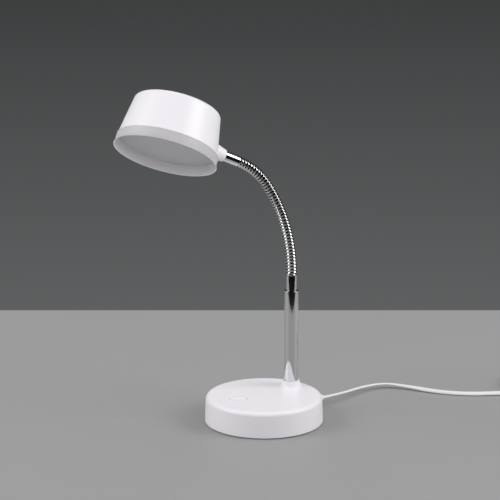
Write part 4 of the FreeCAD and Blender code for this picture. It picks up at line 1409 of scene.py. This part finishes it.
        distance = start @ way
        middle = np.stack([np.interp(out[:, 0], distance, start[:, k]) for k in range(3)], -1)
        straight = (out[:, 0] <= distance[0])[:, None]
        middle = np.where(straight, out[:, :1] * way + self.exit_height * UP, middle)
        side = np.array([-way[1], way[0], 0.0])
        points = middle[:, None, :] + across[..., None] * side + up[..., None] * UP
        faces = [grid_faces(len(out), len(ring), False, True), *end_caps(len(out), len(ring))]
        piece = mesh_object("strain_relief", points.reshape(-1, 3) * MM, faces)
        fit_out(piece, Finish.white_cable, "base", "cord_relief")

    def tie(self) -> None:
        """The band that holds the coil: a flat section carried round a squared loop.

        A loop point is the half size times the cosine and sine of the angle, each raised to 2/5.
        """
        edge = self.tie_edge
        low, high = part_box("cord_tie")
        middle = np.array((low + high) / 2) / MM
        loop = squared(circle(self.tie_columns), self.tie_power)
        half = self.tie_width / 2
        band = rounded_outline(
            [
                (self.tie_outer - self.tie_thick, -half, edge),
                (self.tie_outer, -half, edge),
                (self.tie_outer, half, edge),
                (self.tie_outer - self.tie_thick, half, edge),
            ],
            steps=5,
        )
        flat = band[None, :, :1] * loop[:, None, :]
        depth = np.broadcast_to(band[None, :, 1:], (*flat.shape[:2], 1))
        points = middle + np.concatenate([flat[..., :1], depth, flat[..., 1:]], -1)
        faces = [grid_faces(len(loop), len(band), True, True)]
        piece = mesh_object("coil_tie", points.reshape(-1, 3) * MM, faces)
        fit_out(piece, Finish.white_cable, "base", "cord_tie")

    def build(self) -> None:
        line = self.line()
        steps = np.linalg.norm(np.diff(line, axis=0), axis=1)
        walked = np.concatenate([[0.0], np.cumsum(steps)])
        along = np.gradient(line, axis=0)
        along /= np.linalg.norm(along, axis=1)[:, None]
        side = np.cross(UP, along)
        side /= np.linalg.norm(side, axis=1)[:, None]
        over = np.cross(along, side)
        tilt = self.lean(walked)[:, None]
        wide = side * np.cos(tilt) + over * np.sin(tilt)
        thick = over * np.cos(tilt) - side * np.sin(tilt)
        section = self.section() * MM
        offset = section[None, :, :1] * wide[:, None, :] + section[None, :, 1:] * thick[:, None, :]
        points = (line[:, None, :] + offset).reshape(-1, 3)
        count = len(section)
        faces = [grid_faces(len(line), count, False, True), *end_caps(len(line), count)]
        piece = mesh_object("flat_cord", points, faces)
        fit_out(piece, Finish.white_cable, "base", "mains_cord", "cord_coil", "cord_tail")
        log.info("cord %.3f m long", walked[-1])
        self.relief(line)
        self.tie()


def main() -> None:
    """Builds the camera, the cord, the studio and the lamp, in that order."""
    logging.basicConfig(level=logging.INFO, format="%(message)s")
    PhotoCamera().build()
    finishes.dress_nodes()
    MainsCord().build()
    Studio().build()
    Base().build()
    Stem().build()
    Hose().build()
    Head().build()
    bpy.context.scene.view_settings.view_transform = "Standard"


if __name__ == "__main__":
    main()
